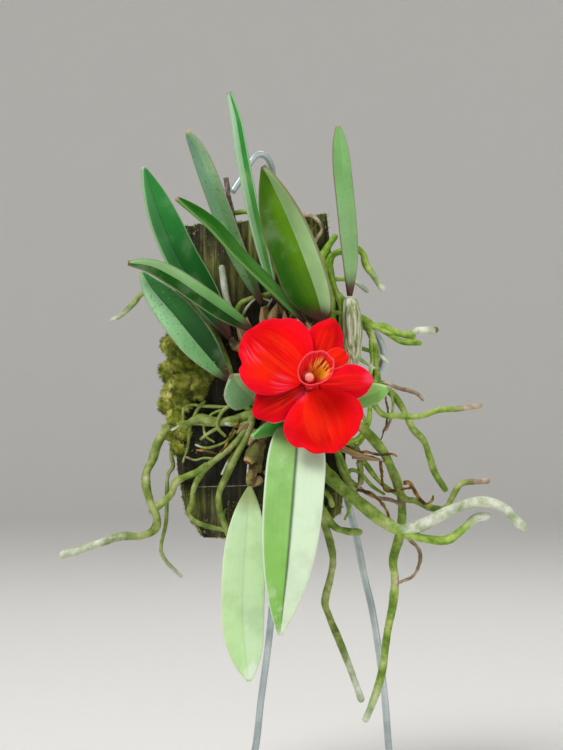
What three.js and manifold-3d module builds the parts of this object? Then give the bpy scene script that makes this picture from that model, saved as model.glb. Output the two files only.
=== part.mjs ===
// A small red-flowered orchid that grows on a slab of weathered wood. Its leaves and roots spread from
// a creeping stem on the front of the slab, and a bent wire with a hook holds the slab up.
// Millimetres, +Z up, +X to the right of someone who faces the flower, +Y away from them.
// The origin is on the floor, under the middle of the object.

import * as THREE from 'three';
import { mergeVertices } from 'three/addons/utils/BufferGeometryUtils.js';
import Module from 'manifold-3d';

const wasm = await Module();
wasm.setup();

// Driving dimensions, in millimetres
const GAP = 0.3; // clearance between pieces that touch
const SLIVER = 0.04; // details finer than this are dropped from a cut surface
const BLOCK_THICKNESS = 22;
const BLOCK_MIDDLE_DEPTH = 2;
const BARK_RELIEF = 1.1;
const WIRE_DIAMETER = 3;
const FOOT_FRONT = -62;
const FOOT_BACK = 62;
const FOOT_LEFT = -46;
const FOOT_RIGHT = 69;
const LEAF_THICKNESS = 2;
const PETAL_THICKNESS = 0.8;
const FLOWER_DEPTH = -42; // how far the flower stands in front of the origin
const RHIZOME_RADIUS = 2.8;

// How the photograph is read: a pixel at the depth of the origin covers this many millimetres
const MM_PER_PIXEL = 0.42;
const VIEW_DISTANCE = 1100;
const PICTURE_MIDDLE = { across: 281.5, down: 375 };
const VIEW_AXIS = { x: -4.8, z: 178.5 };

// The point seen at a pixel of the photograph, at a depth in millimetres (negative is nearer)
function at(across, down, depth) {
  const scale = MM_PER_PIXEL * (VIEW_DISTANCE + depth) / VIEW_DISTANCE;
  const x = VIEW_AXIS.x + (across - PICTURE_MIDDLE.across) * scale;
  const z = VIEW_AXIS.z - (down - PICTURE_MIDDLE.down) * scale;
  return new THREE.Vector3(x, depth, z);
}

const route = (points) => points.map(([across, down, depth]) => at(across, down, depth));

// Solids: joining and cutting closed meshes
function positionsOnly(geometry) {
  const bare = geometry.clone();
  bare.deleteAttribute('normal');
  bare.deleteAttribute('uv');
  return mergeVertices(bare, 1e-4);
}

function solidOf(geometry) {
  const merged = positionsOnly(geometry);
  const vertProperties = new Float32Array(merged.attributes.position.array);
  const triVerts = new Uint32Array(merged.index.array);
  return new wasm.Manifold(new wasm.Mesh({ numProp: 3, vertProperties, triVerts }));
}

// The largest piece of a joined or cut solid, without the slivers that cutting leaves
function geometryOf(solid) {
  const pieces = solid.simplify(SLIVER).decompose();
  pieces.sort((one, other) => other.volume() - one.volume());
  const mesh = pieces[0].getMesh();
  const geometry = new THREE.BufferGeometry();
  geometry.setAttribute('position', new THREE.BufferAttribute(new Float32Array(mesh.vertProperties), 3));
  geometry.setIndex(Array.from(mesh.triVerts));
  geometry.computeVertexNormals();
  return geometry;
}

function join(geometries) {
  return geometries.map(solidOf).reduce((whole, piece) => whole.add(piece));
}

function clearOf(solid, neighbours) {
  return neighbours.reduce((left, neighbour) => left.subtract(solidOf(neighbour)), solid);
}

// A seeded draw, so that the same orchid grows each time
function seededDraw(seed) {
  let state = seed;
  return () => {
    state = (state * 1664525 + 1013904223) % 4294967296;
    return state / 4294967296;
  };
}

// Directions across a curve at each ring, carried along it without twisting. The first one faces the
// front, a little askew, so that no route runs straight along it.
const FIRST_ACROSS = [0.2, -1, 0.1];

function framesAlong(curve, rings) {
  const frames = [];
  let normal = new THREE.Vector3(...FIRST_ACROSS);
  for (let ring = 0; ring <= rings; ring += 1) {
    const tangent = curve.getTangent(ring / rings);
    normal = normal.clone().addScaledVector(tangent, -normal.dot(tangent)).normalize();
    frames.push({ normal, binormal: new THREE.Vector3().crossVectors(tangent, normal) });
  }
  return frames;
}

// A round or ridged rod along a route, with its rings spread evenly over the route's points, so that
// it is finest where the points are close; radiusAt(along, angle) gives its radius
function rod(points, sides, rings, radiusAt) {
  const outline = [];
  for (let i = 0; i < sides; i += 1) {
    const angle = (2 * Math.PI * i) / sides;
    outline.push(new THREE.Vector2(Math.cos(angle), Math.sin(angle)));
  }
  const shape = new THREE.Shape(outline);
  const geometry = new THREE.ExtrudeGeometry(shape, { depth: 1, steps: rings, bevelEnabled: false });
  const curve = new THREE.CatmullRomCurve3(points, false, 'centripetal');
  const frames = framesAlong(curve, rings);
  const position = geometry.attributes.position;
  for (let i = 0; i < position.count; i += 1) {
    const ring = Math.round(position.getZ(i) * rings);
    const x = position.getX(i);
    const y = position.getY(i);
    const radius = radiusAt(ring / rings, Math.atan2(y, x));
    const point = curve.getPoint(ring / rings);
    point.addScaledVector(frames[ring].normal, x * radius);
    point.addScaledVector(frames[ring].binormal, y * radius);
    position.setXYZ(i, point.x, point.y, point.z);
  }
  return positionsOnly(geometry);
}

// A thin blade on a grid, with both faces cut into triangles alike. middleAt(across, along) gives a
// point of its middle surface and the face's direction there; thicknessAt gives its thickness.
function blade(acrossSteps, alongSteps, middleAt, thicknessAt) {
  const sheet = new THREE.PlaneGeometry(2, 1, acrossSteps, alongSteps);
  const grid = sheet.attributes.position;
  const count = grid.count;
  const positions = new Float32Array(count * 6);
  for (let i = 0; i < count; i += 1) {
    const across = grid.getX(i);
    const along = grid.getY(i) + 0.5;
    const { point, face } = middleAt(across, along);
    const half = thicknessAt(across, along) / 2;
    point.clone().addScaledVector(face, half).toArray(positions, i * 3);
    point.clone().addScaledVector(face, -half).toArray(positions, (count + i) * 3);
  }
  const front = Array.from(sheet.index.array);
  const faces = [...front];
  for (let i = 0; i < front.length; i += 3) {
    faces.push(front[i] + count, front[i + 2] + count, front[i + 1] + count);
  }
  const row = acrossSteps + 1;
  const rim = [];
  for (let i = 0; i < acrossSteps; i += 1) rim.push(i);
  for (let i = 0; i < alongSteps; i += 1) rim.push(acrossSteps + i * row);
  for (let i = 0; i < acrossSteps; i += 1) rim.push(alongSteps * row + acrossSteps - i);
  for (let i = 0; i < alongSteps; i += 1) rim.push((alongSteps - i) * row);
  rim.forEach((here, i) => {
    const next = rim[(i + 1) % rim.length];
    faces.push(here, next, next + count, here, next + count, here + count);
  });
  const geometry = new THREE.BufferGeometry();
  geometry.setAttribute('position', new THREE.BufferAttribute(positions, 3));
  geometry.setIndex(faces);
  geometry.computeVertexNormals();
  return geometry;
}

// How wide a leaf or petal is along its length, as a share of its greatest width
function swell(along, widest, baseFullness, tipFullness) {
  if (along < widest) return 1 - Math.pow(1 - along / widest, baseFullness);
  return 1 - Math.pow((along - widest) / (1 - widest), tipFullness);
}

const degrees = THREE.MathUtils.degToRad;

// The slab of weathered wood, ridged up its front
const BLOCK_ROWS = [
  { down: 536, left: 204, right: 300 },
  { down: 512, left: 187, right: 340 },
  { down: 470, left: 179, right: 345 },
  { down: 400, left: 174, right: 345 },
  { down: 330, left: 173, right: 342 },
  { down: 270, left: 179, right: 333 },
  { down: 222, left: 184, right: 326 },
];
const BARK_RIDGES = 10;
const BARK_GROOVE = 0.1; // share of half the thickness
const BARK_SWAY = { across: 9, upward: 1.7 }; // how fast the relief turns across and up the slab
const FRONT_LIMIT = -0.9; // what lies further forward than this share belongs to the front face
const BACK_CHAMFER = { across: 0.07, deep: 0.2 };
const BLOCK_TOP_RISE = 2.6; // the top edge climbs this far from its middle to its right end

function blockSection() {
  const outline = [];
  for (let i = 0; i <= 2 * BARK_RIDGES; i += 1) {
    outline.push(new THREE.Vector2(-1 + i / BARK_RIDGES, i % 2 === 0 ? -1 - BARK_GROOVE : -1));
  }
  const { across, deep } = BACK_CHAMFER;
  outline.push(new THREE.Vector2(1, 1 - deep));
  outline.push(new THREE.Vector2(1 - across, 1));
  outline.push(new THREE.Vector2(0, 1));
  outline.push(new THREE.Vector2(across - 1, 1));
  outline.push(new THREE.Vector2(-1, 1 - deep));
  return outline;
}

function block(grow) {
  const steps = BLOCK_ROWS.length - 1;
  const shape = new THREE.Shape(blockSection());
  const geometry = new THREE.ExtrudeGeometry(shape, { depth: 1, steps, bevelEnabled: false });
  const position = geometry.attributes.position;
  for (let i = 0; i < position.count; i += 1) {
    const level = Math.round(position.getZ(i) * steps);
    const row = BLOCK_ROWS[level];
    const across = position.getX(i);
    const left = at(row.left, row.down, BLOCK_MIDDLE_DEPTH).x - grow;
    const right = at(row.right, row.down, BLOCK_MIDDLE_DEPTH).x + grow;
    const deep = position.getY(i);
    const sway = Math.sin(across * BARK_SWAY.across + level * BARK_SWAY.upward);
    const ridge = deep < FRONT_LIMIT ? BARK_RELIEF * (sway / 2 + 5.5 * (-1 - deep)) : 0;
    const depth = BLOCK_MIDDLE_DEPTH + Math.sign(deep) * grow + deep * BLOCK_THICKNESS / 2 + ridge;
    const end = level === steps ? 1 : -Number(level === 0);
    const rise = level === steps ? BLOCK_TOP_RISE * across : 0;
    const height = at(0, row.down, BLOCK_MIDDLE_DEPTH).z + rise + end * grow;
    position.setXYZ(i, THREE.MathUtils.lerp(left, right, (across + 1) / 2), depth, height);
  }
  return positionsOnly(geometry);
}

// Leaves: fleshy, channelled along the midrib, each on its own short stem. turn rolls the blade about
// its midrib from facing the front, and fold lifts its two halves towards that face.
const LEAVES = {
  leaf_left_back: {
    route: [[230, 338, -17], [204, 303, -15], [180, 265, -13.5], [161, 223, -13.5], [149, 188, -15],
      [143, 167, -16]],
    halfWidth: 9.3, turn: 31, fold: 31, widest: 0.42, base: 2.2, tip: 2.9, colour: 0x2f7a38,
  },
  leaf_top_left: {
    route: [[262, 305, -15], [250, 279, -16], [233, 241, -16], [211, 182, -18], [198, 150, -20],
      [187, 131, -22]],
    halfWidth: 4.4, turn: -18, fold: 14, widest: 0.5, base: 2.4, tip: 4.6, colour: 0x557f55,
  },
  leaf_top_middle: {
    route: [[277, 304, -15], [263, 252, -14.5], [252, 205, -14.5], [243, 160, -15], [236, 118, -16],
      [229, 92, -17]],
    halfWidth: 3.4, turn: 0, fold: 42, widest: 0.5, base: 2.4, tip: 4, colour: 0x4c8a58,
  },
  leaf_long_left: {
    route: [[304, 322, -19], [270, 288, -27], [238, 256, -31], [212, 227, -33], [176, 198, -36]],
    halfWidth: 5, turn: 58, fold: 18, widest: 0.5, base: 2.2, tip: 3.4, colour: 0x2c6326,
  },
  leaf_middle: {
    route: [[325, 322, -22], [317, 292, -27], [302, 250, -31], [283, 205, -34], [270, 178, -36],
      [263, 166, -37]],
    halfWidth: 13.4, turn: -33, fold: 33, widest: 0.4, base: 3.2, tip: 2.8, colour: 0x5c8f42,
  },
  leaf_right: {
    route: [[350, 296, -17], [350, 262, -17], [347, 220, -16], [342, 170, -16], [338, 126, -17]],
    halfWidth: 4, turn: 12, fold: 12, widest: 0.5, base: 2.6, tip: 5, colour: 0x86b076,
  },
  leaf_left_upper: {
    route: [[252, 330, -20], [226, 313, -26], [200, 295, -30], [174, 277.5, -32.5], [150, 266, -34.5],
      [128, 263, -36]],
    halfWidth: 4.7, turn: 0, fold: 30, widest: 0.42, base: 2.2, tip: 3.2, colour: 0x356b2e,
  },
  leaf_left_lower: {
    route: [[228, 380, -17], [211, 360, -20], [195, 341, -22], [174, 315, -24], [151, 288, -26],
      [141, 272, -27]],
    halfWidth: 8.6, turn: 13, fold: 28, widest: 0.42, base: 1.6, tip: 2.7, colour: 0x4a7d4c,
  },
  leaf_small_left: {
    route: [[254, 402, -18], [247, 395, -23], [239, 387, -29], [231, 376, -35]],
    halfWidth: 8.6, turn: 8, fold: 8, widest: 0.5, base: 2, tip: 2.3, colour: 0x7fae72,
  },
  leaf_small_right: {
    route: [[346, 402, -20], [358, 399, -27], [374, 393, -32], [388, 388, -35]],
    halfWidth: 4.6, turn: 12, fold: 12, widest: 0.55, base: 2, tip: 3, colour: 0x8fca7c,
  },
  leaf_small_bright: {
    route: [[292, 421, -19], [280, 424, -26], [266, 428, -31], [252, 437, -35]],
    halfWidth: 4.2, turn: -40, fold: 26, widest: 0.5, base: 1.8, tip: 2.2, colour: 0x3f9a30,
  },
  leaf_hanging_front: {
    route: [[298, 418, -21], [297, 446, -33], [293, 500, -39], [288, 560, -41], [280, 635, -40]],
    halfWidth: 12.4, turn: -3, fold: 12, widest: 0.36, base: 3.2, tip: 2.6, colour: 0x86b873,
  },
  leaf_hanging_left: {
    route: [[250, 487, -20], [247, 525, -26], [244, 570, -29], [243, 620, -29], [249, 681, -27]],
    halfWidth: 9, turn: 4, fold: 8, widest: 0.48, base: 2.5, tip: 4, colour: 0xb4dc98,
  },
};
const LEAF_END_HALF_WIDTH = 0.9;
const LEAF_EDGE_THICKNESS = 0.9;
const LEAF_STALK_SHARE = 0.07; // the first stretch of a leaf is a narrow thick stalk
const LEAF_STALK_EXTRA = 0.6; // how much thicker that stalk is
const LEAF_STEPS_ALONG = 9;
const BROAD_LEAF = 7; // a leaf with a greater half width than this is cut finer across
const closerAtTip = (evenly) => 1 - Math.pow(1 - evenly, 1.35);

function leaf(spec, grow) {
  const curve = new THREE.CatmullRomCurve3(route(spec.route), false, 'centripetal');
  const fold = degrees(spec.fold);
  const turn = degrees(spec.turn);
  const steps = spec.halfWidth > BROAD_LEAF ? 6 : 4;
  const middleAt = (across, evenly) => {
    const along = closerAtTip(evenly);
    const tangent = curve.getTangentAt(along);
    const face = new THREE.Vector3(0, -1, 0).addScaledVector(tangent, tangent.y).normalize();
    face.applyAxisAngle(tangent, turn);
    const side = new THREE.Vector3().crossVectors(tangent, face);
    const share = swell(along, spec.widest, spec.base, spec.tip);
    const width = LEAF_END_HALF_WIDTH + (spec.halfWidth - LEAF_END_HALF_WIDTH) * share + grow;
    const point = curve.getPointAt(along);
    point.addScaledVector(side, across * width * Math.cos(fold));
    point.addScaledVector(face, Math.abs(across) * width * Math.sin(fold));
    const lean = -Math.sign(across) * Math.sin(fold);
    const normal = face.clone().multiplyScalar(Math.cos(fold)).addScaledVector(side, lean).normalize();
    return { point, face: normal };
  };
  const thicknessAt = (across, along) => {
    const body = THREE.MathUtils.lerp(LEAF_THICKNESS, LEAF_EDGE_THICKNESS, across * across);
    const stalk = along < LEAF_STALK_SHARE ? LEAF_STALK_EXTRA : 0;
    return body + stalk + 2 * grow;
  };
  return blade(steps, LEAF_STEPS_ALONG, middleAt, thicknessAt);
}

// The creeping stem: two arms across the front of the slab and a short stem under each leaf
const RHIZOME_ARMS = [
  [[256, 472, -13.2], [260, 440, -13.2], [275, 412, -13.2], [300, 395, -13.2], [330, 384, -13.2],
    [349, 376, -13.2]],
  [[278, 410, -13.4], [262, 385, -13.2], [258, 355, -13.3], [270, 332, -13.2], [291, 331, -13.5]],
  [[302, 393, -13.5], [307, 370, -13.3], [316, 350, -13.2], [302, 336, -13.2], [284, 327, -13.6]],
];
const LEAF_STEMS = [
  { leaf: 'leaf_left_back', from: [256, 352, -13.5], radius: 2.3 },
  { leaf: 'leaf_top_left', from: [265, 334, -13.2], radius: 2 },
  { leaf: 'leaf_top_middle', from: [281, 330, -13.2], radius: 2 },
  { leaf: 'leaf_long_left', from: [306, 342, -13.2], radius: 2.2 },
  { leaf: 'leaf_middle', from: [317, 350, -13.2], radius: 2.4 },
  { leaf: 'leaf_left_upper', from: [260, 346, -13.5], radius: 2.3 },
  { leaf: 'leaf_left_lower', from: [262, 388, -13.2], radius: 2.3 },
  { leaf: 'leaf_small_left', from: [268, 402, -13.2], radius: 2.2 },
  { leaf: 'leaf_small_right', from: [334, 386, -13.2], radius: 2.2 },
  { leaf: 'leaf_small_bright', from: [290, 402, -13.2], radius: 2 },
  { leaf: 'leaf_hanging_front', from: [304, 393, -13.4], radius: 2.6 },
  { leaf: 'leaf_hanging_left', from: [257, 462, -13.2], radius: 2.2 },
];
const OLD_BULB = { route: [[262, 441, -15], [255, 451, -18], [247, 463, -20]], radius: 3.4 };

const STEM_LEAD = 4; // a stem runs straight towards its leaf for this far
const STEM_BELLY = { ends: 0.85, belly: 0.3, taper: 0.25 }; // shares of a stem's radius

function stemTo(name, from, radius) {
  const midrib = new THREE.CatmullRomCurve3(route(LEAVES[name].route), false, 'centripetal');
  const direction = midrib.getTangentAt(0);
  const end = midrib.getPointAt(0).addScaledVector(direction, -GAP);
  const lead = end.clone().addScaledVector(direction, -STEM_LEAD);
  const { ends, belly: bulge, taper } = STEM_BELLY;
  const belly = (along) => radius * (ends + bulge * Math.sin(Math.PI * along)) * (1 - taper * along);
  return rod([at(...from), lead, end], 6, 4, belly);
}

function rhizome(grow) {
  const pieces = RHIZOME_ARMS.map((arm) => rod(route(arm), 6, 2 * arm.length, () => RHIZOME_RADIUS + grow));
  LEAF_STEMS.forEach(({ leaf: name, from, radius }) => pieces.push(stemTo(name, from, radius + grow)));
  const oldBulb = (along) => grow + OLD_BULB.radius * (0.6 + 0.4 * Math.sin(Math.PI * along));
  pieces.push(rod(route(OLD_BULB.route), 8, 5, oldBulb));
  return join(pieces);
}

// The papery, ridged stem under the right leaf
const RIDGED_STEM = { route: [[351, 372, -15], [353, 346, -17], [352, 320, -18], [350, 298, -17]] };
const RIDGED_STEM_RADIUS = 4.1;
const RIDGED_STEM_RIDGES = 9;
const RIDGED_STEM_NECK = 0.42; // share of its greatest radius at its ends
const RIDGE_HEIGHT = 0.1; // share of the radius

function ridgedStem(grow) {
  const radiusAt = (along, angle) => {
    const bulge = Math.pow(Math.sin(Math.PI * (0.1 + 0.72 * along)), 1.3);
    const spindle = RIDGED_STEM_RADIUS * THREE.MathUtils.lerp(RIDGED_STEM_NECK, 1, bulge);
    return grow + spindle * (1 + RIDGE_HEIGHT * Math.cos(RIDGED_STEM_RIDGES * angle));
  };
  return rod(route(RIDGED_STEM.route), 2 * RIDGED_STEM_RIDGES, 8, radiusAt);
}

// Dry, pointed sheaths that stand round the older stems
const DRY_SHEATHS = {
  dry_sheath_left: [[248, 352, -15], [243, 336, -18], [236, 318, -20]],
  dry_sheath_middle: [[275, 334, -15], [272, 320, -19], [278, 302, -22]],
  dry_sheath_right: [[312, 344, -15], [308, 330, -18], [300, 312, -17]],
};
const SHEATH_HALF_WIDTH = 2.6;
const SHEATH_THICKNESS = 0.7;
const SHEATH_TAPER = 0.82; // share of its width that is gone at the tip
const SHEATH_CURL = 0.4; // how far its edges bend back, as a share of its width

function drySheath(points, grow) {
  const curve = new THREE.CatmullRomCurve3(route(points), false, 'centripetal');
  const middleAt = (across, along) => {
    const tangent = curve.getTangentAt(along);
    const face = new THREE.Vector3(0, -1, 0).addScaledVector(tangent, tangent.y).normalize();
    const side = new THREE.Vector3().crossVectors(tangent, face);
    const width = grow + SHEATH_HALF_WIDTH * (1 - SHEATH_TAPER * along * along);
    const point = curve.getPointAt(along);
    point.addScaledVector(side, across * width);
    point.addScaledVector(face, -across * across * width * SHEATH_CURL);
    return { point, face };
  };
  return blade(2, 3, middleAt, () => SHEATH_THICKNESS + 2 * grow);
}

// Aerial roots: each has a route, its radius where it starts and its radius at the tip. Many run on the
// slab's face first; the others hang or reach out beside it.
const ON_WOOD = -12.6; // depth of the middle of a root that lies on the slab's front
const ROOTS = {
  roots_left: [
    {
      radius: 2,
      tip: 1.6,
      route: [
        [256, 413, ON_WOOD], [245, 416, ON_WOOD], [233, 420, ON_WOOD], [215, 422, ON_WOOD],
        [199, 418, -11.6], [188, 424, -11.6], [178, 426, -8], [168, 428, -5], [158, 443, -4],
        [152, 461, -4], [147, 471, -5], [146, 484, -6], [150, 501, -8], [157, 520, -10],
        [154, 530, -11.6], [140, 536, ON_WOOD], [123, 536, -14], [106, 541, -16], [85, 548, -18],
        [63, 555, -20],
      ],
    },
    {
      radius: 0.9,
      tip: 0.8,
      route: [
        [178, 426, -8], [173, 442, -3], [171, 454, -1], [173, 466, 0], [168, 475, 0], [167, 488, -1],
        [166, 522, -1], [161, 550, 0], [166, 561, -1], [181, 576, -2],
      ],
    },
    {
      radius: 1.6,
      tip: 1.4,
      route: [
        [208, 465, -13.6], [199, 471, -13.6], [185, 477, -11.6], [176, 482, -9], [171, 494, -8],
        [162, 503, -8], [152, 511, -8],
      ],
    },
    {
      radius: 1.5,
      tip: 0.9,
      route: [
        [253, 420, ON_WOOD], [238, 440, -14], [224, 453, -14], [204, 470, -13.6], [194, 488, -13.6],
        [192, 503, -13.6], [189, 514, ON_WOOD], [197, 522, -13.6], [211, 527, -14], [225, 530, -15],
      ],
    },
    {
      radius: 1.5,
      tip: 1.3,
      route: [
        [252, 416, -13.6], [249, 432, -16], [239, 451, -17], [227, 475, -17], [219, 494, -16],
        [220, 510, -16], [228, 534, -16],
      ],
    },
    {
      radius: 0.8,
      tip: 0.7,
      route: [
        [254, 410, ON_WOOD], [240, 406, -11.6], [225, 407, -11.6], [205, 406, -11.6],
        [185, 406, -11.6], [183, 424, -10],
      ],
    },
    {
      radius: 0.9,
      tip: 0.7,
      route: [
        [238, 402, ON_WOOD], [226, 408, -14], [218, 419, -15], [218, 428, -14], [225, 436, -13.6],
      ],
    },
    {
      radius: 0.8,
      tip: 0.6,
      route: [
        [218, 428, -14], [209, 433, ON_WOOD], [201, 439, -11.6],
      ],
    },
    {
      radius: 1.3,
      tip: 1.1,
      route: [
        [252, 412, ON_WOOD], [240, 400, -12], [224, 352, -12], [206, 318, -12], [186, 301, -12.4],
        [173, 296, ON_WOOD], [160, 293, -12], [142, 294, -10], [133, 304, -10], [120, 316, -10],
        [112, 320, -10],
      ],
    },
  ],
  roots_top: [
    {
      radius: 1.4,
      tip: 1.4,
      route: [
        [250, 337, ON_WOOD], [235, 318, ON_WOOD], [227, 300, ON_WOOD], [224, 284, -13.6],
        [222, 268, -13.6],
      ],
    },
    {
      radius: 1.1,
      tip: 1.1,
      route: [
        [233, 316, ON_WOOD], [219, 300, ON_WOOD], [210, 288, ON_WOOD], [207, 275, ON_WOOD],
      ],
    },
    {
      radius: 1.1,
      tip: 1,
      route: [
        [235, 318, ON_WOOD], [240, 304, ON_WOOD], [254, 297, ON_WOOD], [270, 293, -11.6],
        [273, 270, -11.6], [270, 240, -11.6], [262, 219, -9], [249, 212, -6], [234, 213, -5],
      ],
    },
    {
      radius: 0.9,
      tip: 0.7,
      route: [
        [271, 245, -11.6], [288, 224, -11.6], [300, 216, -11.6], [314, 217, -11.6], [322, 229, -11.6],
        [315, 241, -11.6],
      ],
    },
  ],
  roots_right: [
    {
      radius: 1.8,
      tip: 1.4,
      route: [
        [345, 366, -11.6], [342, 348, ON_WOOD], [334, 328, ON_WOOD], [331, 300, ON_WOOD],
        [326, 275, ON_WOOD], [322, 258, ON_WOOD], [327, 248, ON_WOOD], [335, 237, ON_WOOD],
      ],
    },
    {
      radius: 1.5,
      tip: 1.5,
      route: [
        [342, 348, -11.6], [344, 314, -11.6], [337, 295, -11.6], [330, 275, -11.6], [332, 256, -11.6],
        [343, 251, -10], [357, 249, -9], [363, 254, -8], [366, 265, -6], [373, 275, -5],
        [382, 288, -4],
      ],
    },
    {
      radius: 1,
      tip: 0.9,
      route: [
        [328, 280, ON_WOOD], [343, 279, -10], [354, 281, -9], [367, 291, -8],
      ],
    },
    {
      radius: 1.6,
      tip: 1.4,
      route: [
        [342, 330, -11.6], [352, 317, -10], [363, 318, -9], [373, 326, -9], [384, 326, -8],
        [392, 331, -7], [401, 334, -6], [413, 337, -6],
      ],
    },
    {
      radius: 1.3,
      tip: 1.5,
      route: [
        [401, 334, -6], [409, 334, -7], [416, 331, -8], [435, 330, -10],
      ],
    },
    {
      radius: 1.3,
      tip: 1.2,
      route: [
        [378, 327, -8], [386, 332, -8], [400, 341, -9], [419, 343, -9],
      ],
    },
    {
      radius: 1.5,
      tip: 1.4,
      route: [
        [363, 318, -9], [369, 330, -10], [375, 346, -10], [376, 369, -9], [380, 386, -8],
        [390, 392, -8], [398, 401, -7], [406, 415, -6], [413, 429, -6], [424, 441, -6],
        [429, 455, -6], [435, 473, -7], [445, 489, -8],
      ],
    },
    {
      radius: 0.9,
      tip: 0.8,
      route: [
        [378, 383, -8], [387, 383, -8], [398, 388, -9], [416, 393, -10], [423, 399, -10],
      ],
    },
    {
      radius: 1.3,
      tip: 1.2,
      route: [
        [377, 376, -9], [372, 396, -11.6], [382, 414, -13.6], [398, 416, -14], [422, 416, -15],
        [438, 410, -15], [456, 409, -15], [480, 406, -15],
      ],
    },
  ],
  roots_lower: [
    {
      radius: 2.2,
      tip: 1.6,
      route: [
        [324, 402, ON_WOOD], [340, 412, ON_WOOD], [361, 427, ON_WOOD], [373, 439, -13.6],
        [384, 453, -13.6], [392, 470, ON_WOOD], [398, 485, -11.6], [402, 504, -10], [400, 534, -8],
        [393, 561, -8], [395, 579, -8], [393, 603, -8], [387, 635, -8], [382, 672, -9],
        [374, 699, -10], [366, 719, -11.6],
      ],
    },
    {
      radius: 3,
      tip: 2.1,
      route: [
        [320, 404, ON_WOOD], [314, 430, ON_WOOD], [316, 456, -13.6], [324, 471, -16], [338, 485, -18],
        [361, 504, -20], [383, 521, -21], [401, 530, -22], [422, 525, -23], [445, 513, -24],
        [468, 504, -25], [484, 502, -26], [504, 508, -27], [522, 527, -28],
      ],
    },
    {
      radius: 1.9,
      tip: 1.8,
      route: [
        [396, 529, -22], [407, 534, -22], [427, 539, -22], [447, 540, -22], [462, 530, -22],
        [476, 518, -22], [487, 516, -22],
      ],
    },
    {
      radius: 1.5,
      tip: 1.3,
      route: [
        [394, 474, ON_WOOD], [404, 498, ON_WOOD], [416, 501, ON_WOOD], [432, 508, -13.6],
        [445, 508, -14], [453, 496, -14], [461, 484, -14], [487, 481, -14],
      ],
    },
    {
      radius: 1.7,
      tip: 1.5,
      route: [
        [316, 456, -13.6], [318, 480, -13.6], [320, 508, -13.6], [330, 542, -13.6],
        [333, 561, ON_WOOD], [330, 579, ON_WOOD], [325, 603, ON_WOOD], [329, 616, ON_WOOD],
        [339, 640, ON_WOOD], [350, 668, ON_WOOD], [361, 699, ON_WOOD],
      ],
    },
    {
      radius: 1.7,
      tip: 1.5,
      route: [
        [320, 506, -13.6], [335, 527, -13.6], [346, 531, -13.6], [359, 532, -13.6],
      ],
    },
    {
      radius: 1.6,
      tip: 1.4,
      route: [
        [340, 412, ON_WOOD], [336, 436, ON_WOOD], [340, 464, ON_WOOD], [348, 482, ON_WOOD],
        [358, 498, ON_WOOD], [366, 508, -11.6],
      ],
    },
    {
      radius: 1.4,
      tip: 1.2,
      route: [
        [338, 440, ON_WOOD], [356, 448, -11.6], [360, 465, -11.6], [361, 482, -11.6],
      ],
    },
    {
      radius: 0.8,
      tip: 0.7,
      route: [
        [400, 530, -8], [409, 539, -9], [419, 550, -9], [420, 561, -8], [413, 576, -8],
        [400, 582, -9],
      ],
    },
    {
      radius: 0.9,
      tip: 0.8,
      route: [
        [345, 476, ON_WOOD], [361, 489, -11.6], [372, 496, -11.6], [391, 500, -11.6],
        [400, 504, -11.6],
      ],
    },
  ],
};
const RINGS_PER_BEND = 1.35;
const ROOT_KNOBS = { height: 0.07, pace: 2.3 }; // swellings along a root, as a share of its radius
const ROOT_TIP = 0.6; // how much of its radius is left at the very tip
const THIN_ROOT = 1; // a root with this radius or less has fewer sides

function root(spec, grow) {
  const bends = spec.route.length - 1;
  const rings = Math.ceil(bends * RINGS_PER_BEND) + 1;
  const radiusAt = (along) => {
    const knobs = 1 + ROOT_KNOBS.height * Math.sin(along * bends * ROOT_KNOBS.pace);
    const end = along === 1 ? ROOT_TIP : 1;
    return grow + THREE.MathUtils.lerp(spec.radius, spec.tip, along) * knobs * end;
  };
  return rod(route(spec.route), spec.radius > THIN_ROOT ? 6 : 5, rings, radiusAt);
}

// Moss: a cushion over the slab's left edge and front, covered in small pointed tufts
const MOSS_CORES = [
  [[171, 333, -9], [168, 352, -8.5], [170, 374, -9], [169, 396, -9]],
  [[180, 338, -12.4], [184, 356, -12.6], [186, 374, -13], [182, 396, -12.6]],
  [[192, 350, -12.8], [198, 366, -13], [202, 380, -13], [196, 396, -12.8]],
];
const MOSS_CORE_RADIUS = 2.9;
const MOSS_TUFTS = 24; // on each core
const MOSS_SEED = 71;
const TUFT = { radius: 1.3, moreRadius: 0.6, height: 3.4, moreHeight: 2.2, sunk: 1.6 };
const TUFT_LEAN = { start: 110, perCore: 40, spread: 110 }; // degrees round a core, from the right

function moss() {
  const draw = seededDraw(MOSS_SEED);
  const pieces = [];
  MOSS_CORES.forEach((core, front) => {
    const curve = new THREE.CatmullRomCurve3(route(core), false, 'centripetal');
    pieces.push(rod(route(core), 6, 6, () => MOSS_CORE_RADIUS));
    for (let i = 0; i < MOSS_TUFTS; i += 1) {
      const angle = degrees(TUFT_LEAN.start + front * TUFT_LEAN.perCore + TUFT_LEAN.spread * draw());
      const outward = new THREE.Vector3(Math.cos(angle), -Math.abs(Math.sin(angle)), draw() - 0.5);
      outward.normalize();
      const height = TUFT.height + TUFT.moreHeight * draw();
      const tuft = new THREE.ConeGeometry(TUFT.radius + TUFT.moreRadius * draw(), height, 5);
      tuft.applyQuaternion(new THREE.Quaternion().setFromUnitVectors(new THREE.Vector3(0, 1, 0), outward));
      const reach = MOSS_CORE_RADIUS + height / 2 - TUFT.sunk;
      const seat = curve.getPointAt(draw()).addScaledVector(outward, reach);
      tuft.translate(seat.x, seat.y, seat.z);
      pieces.push(tuft);
    }
  });
  return join(pieces);
}

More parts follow.
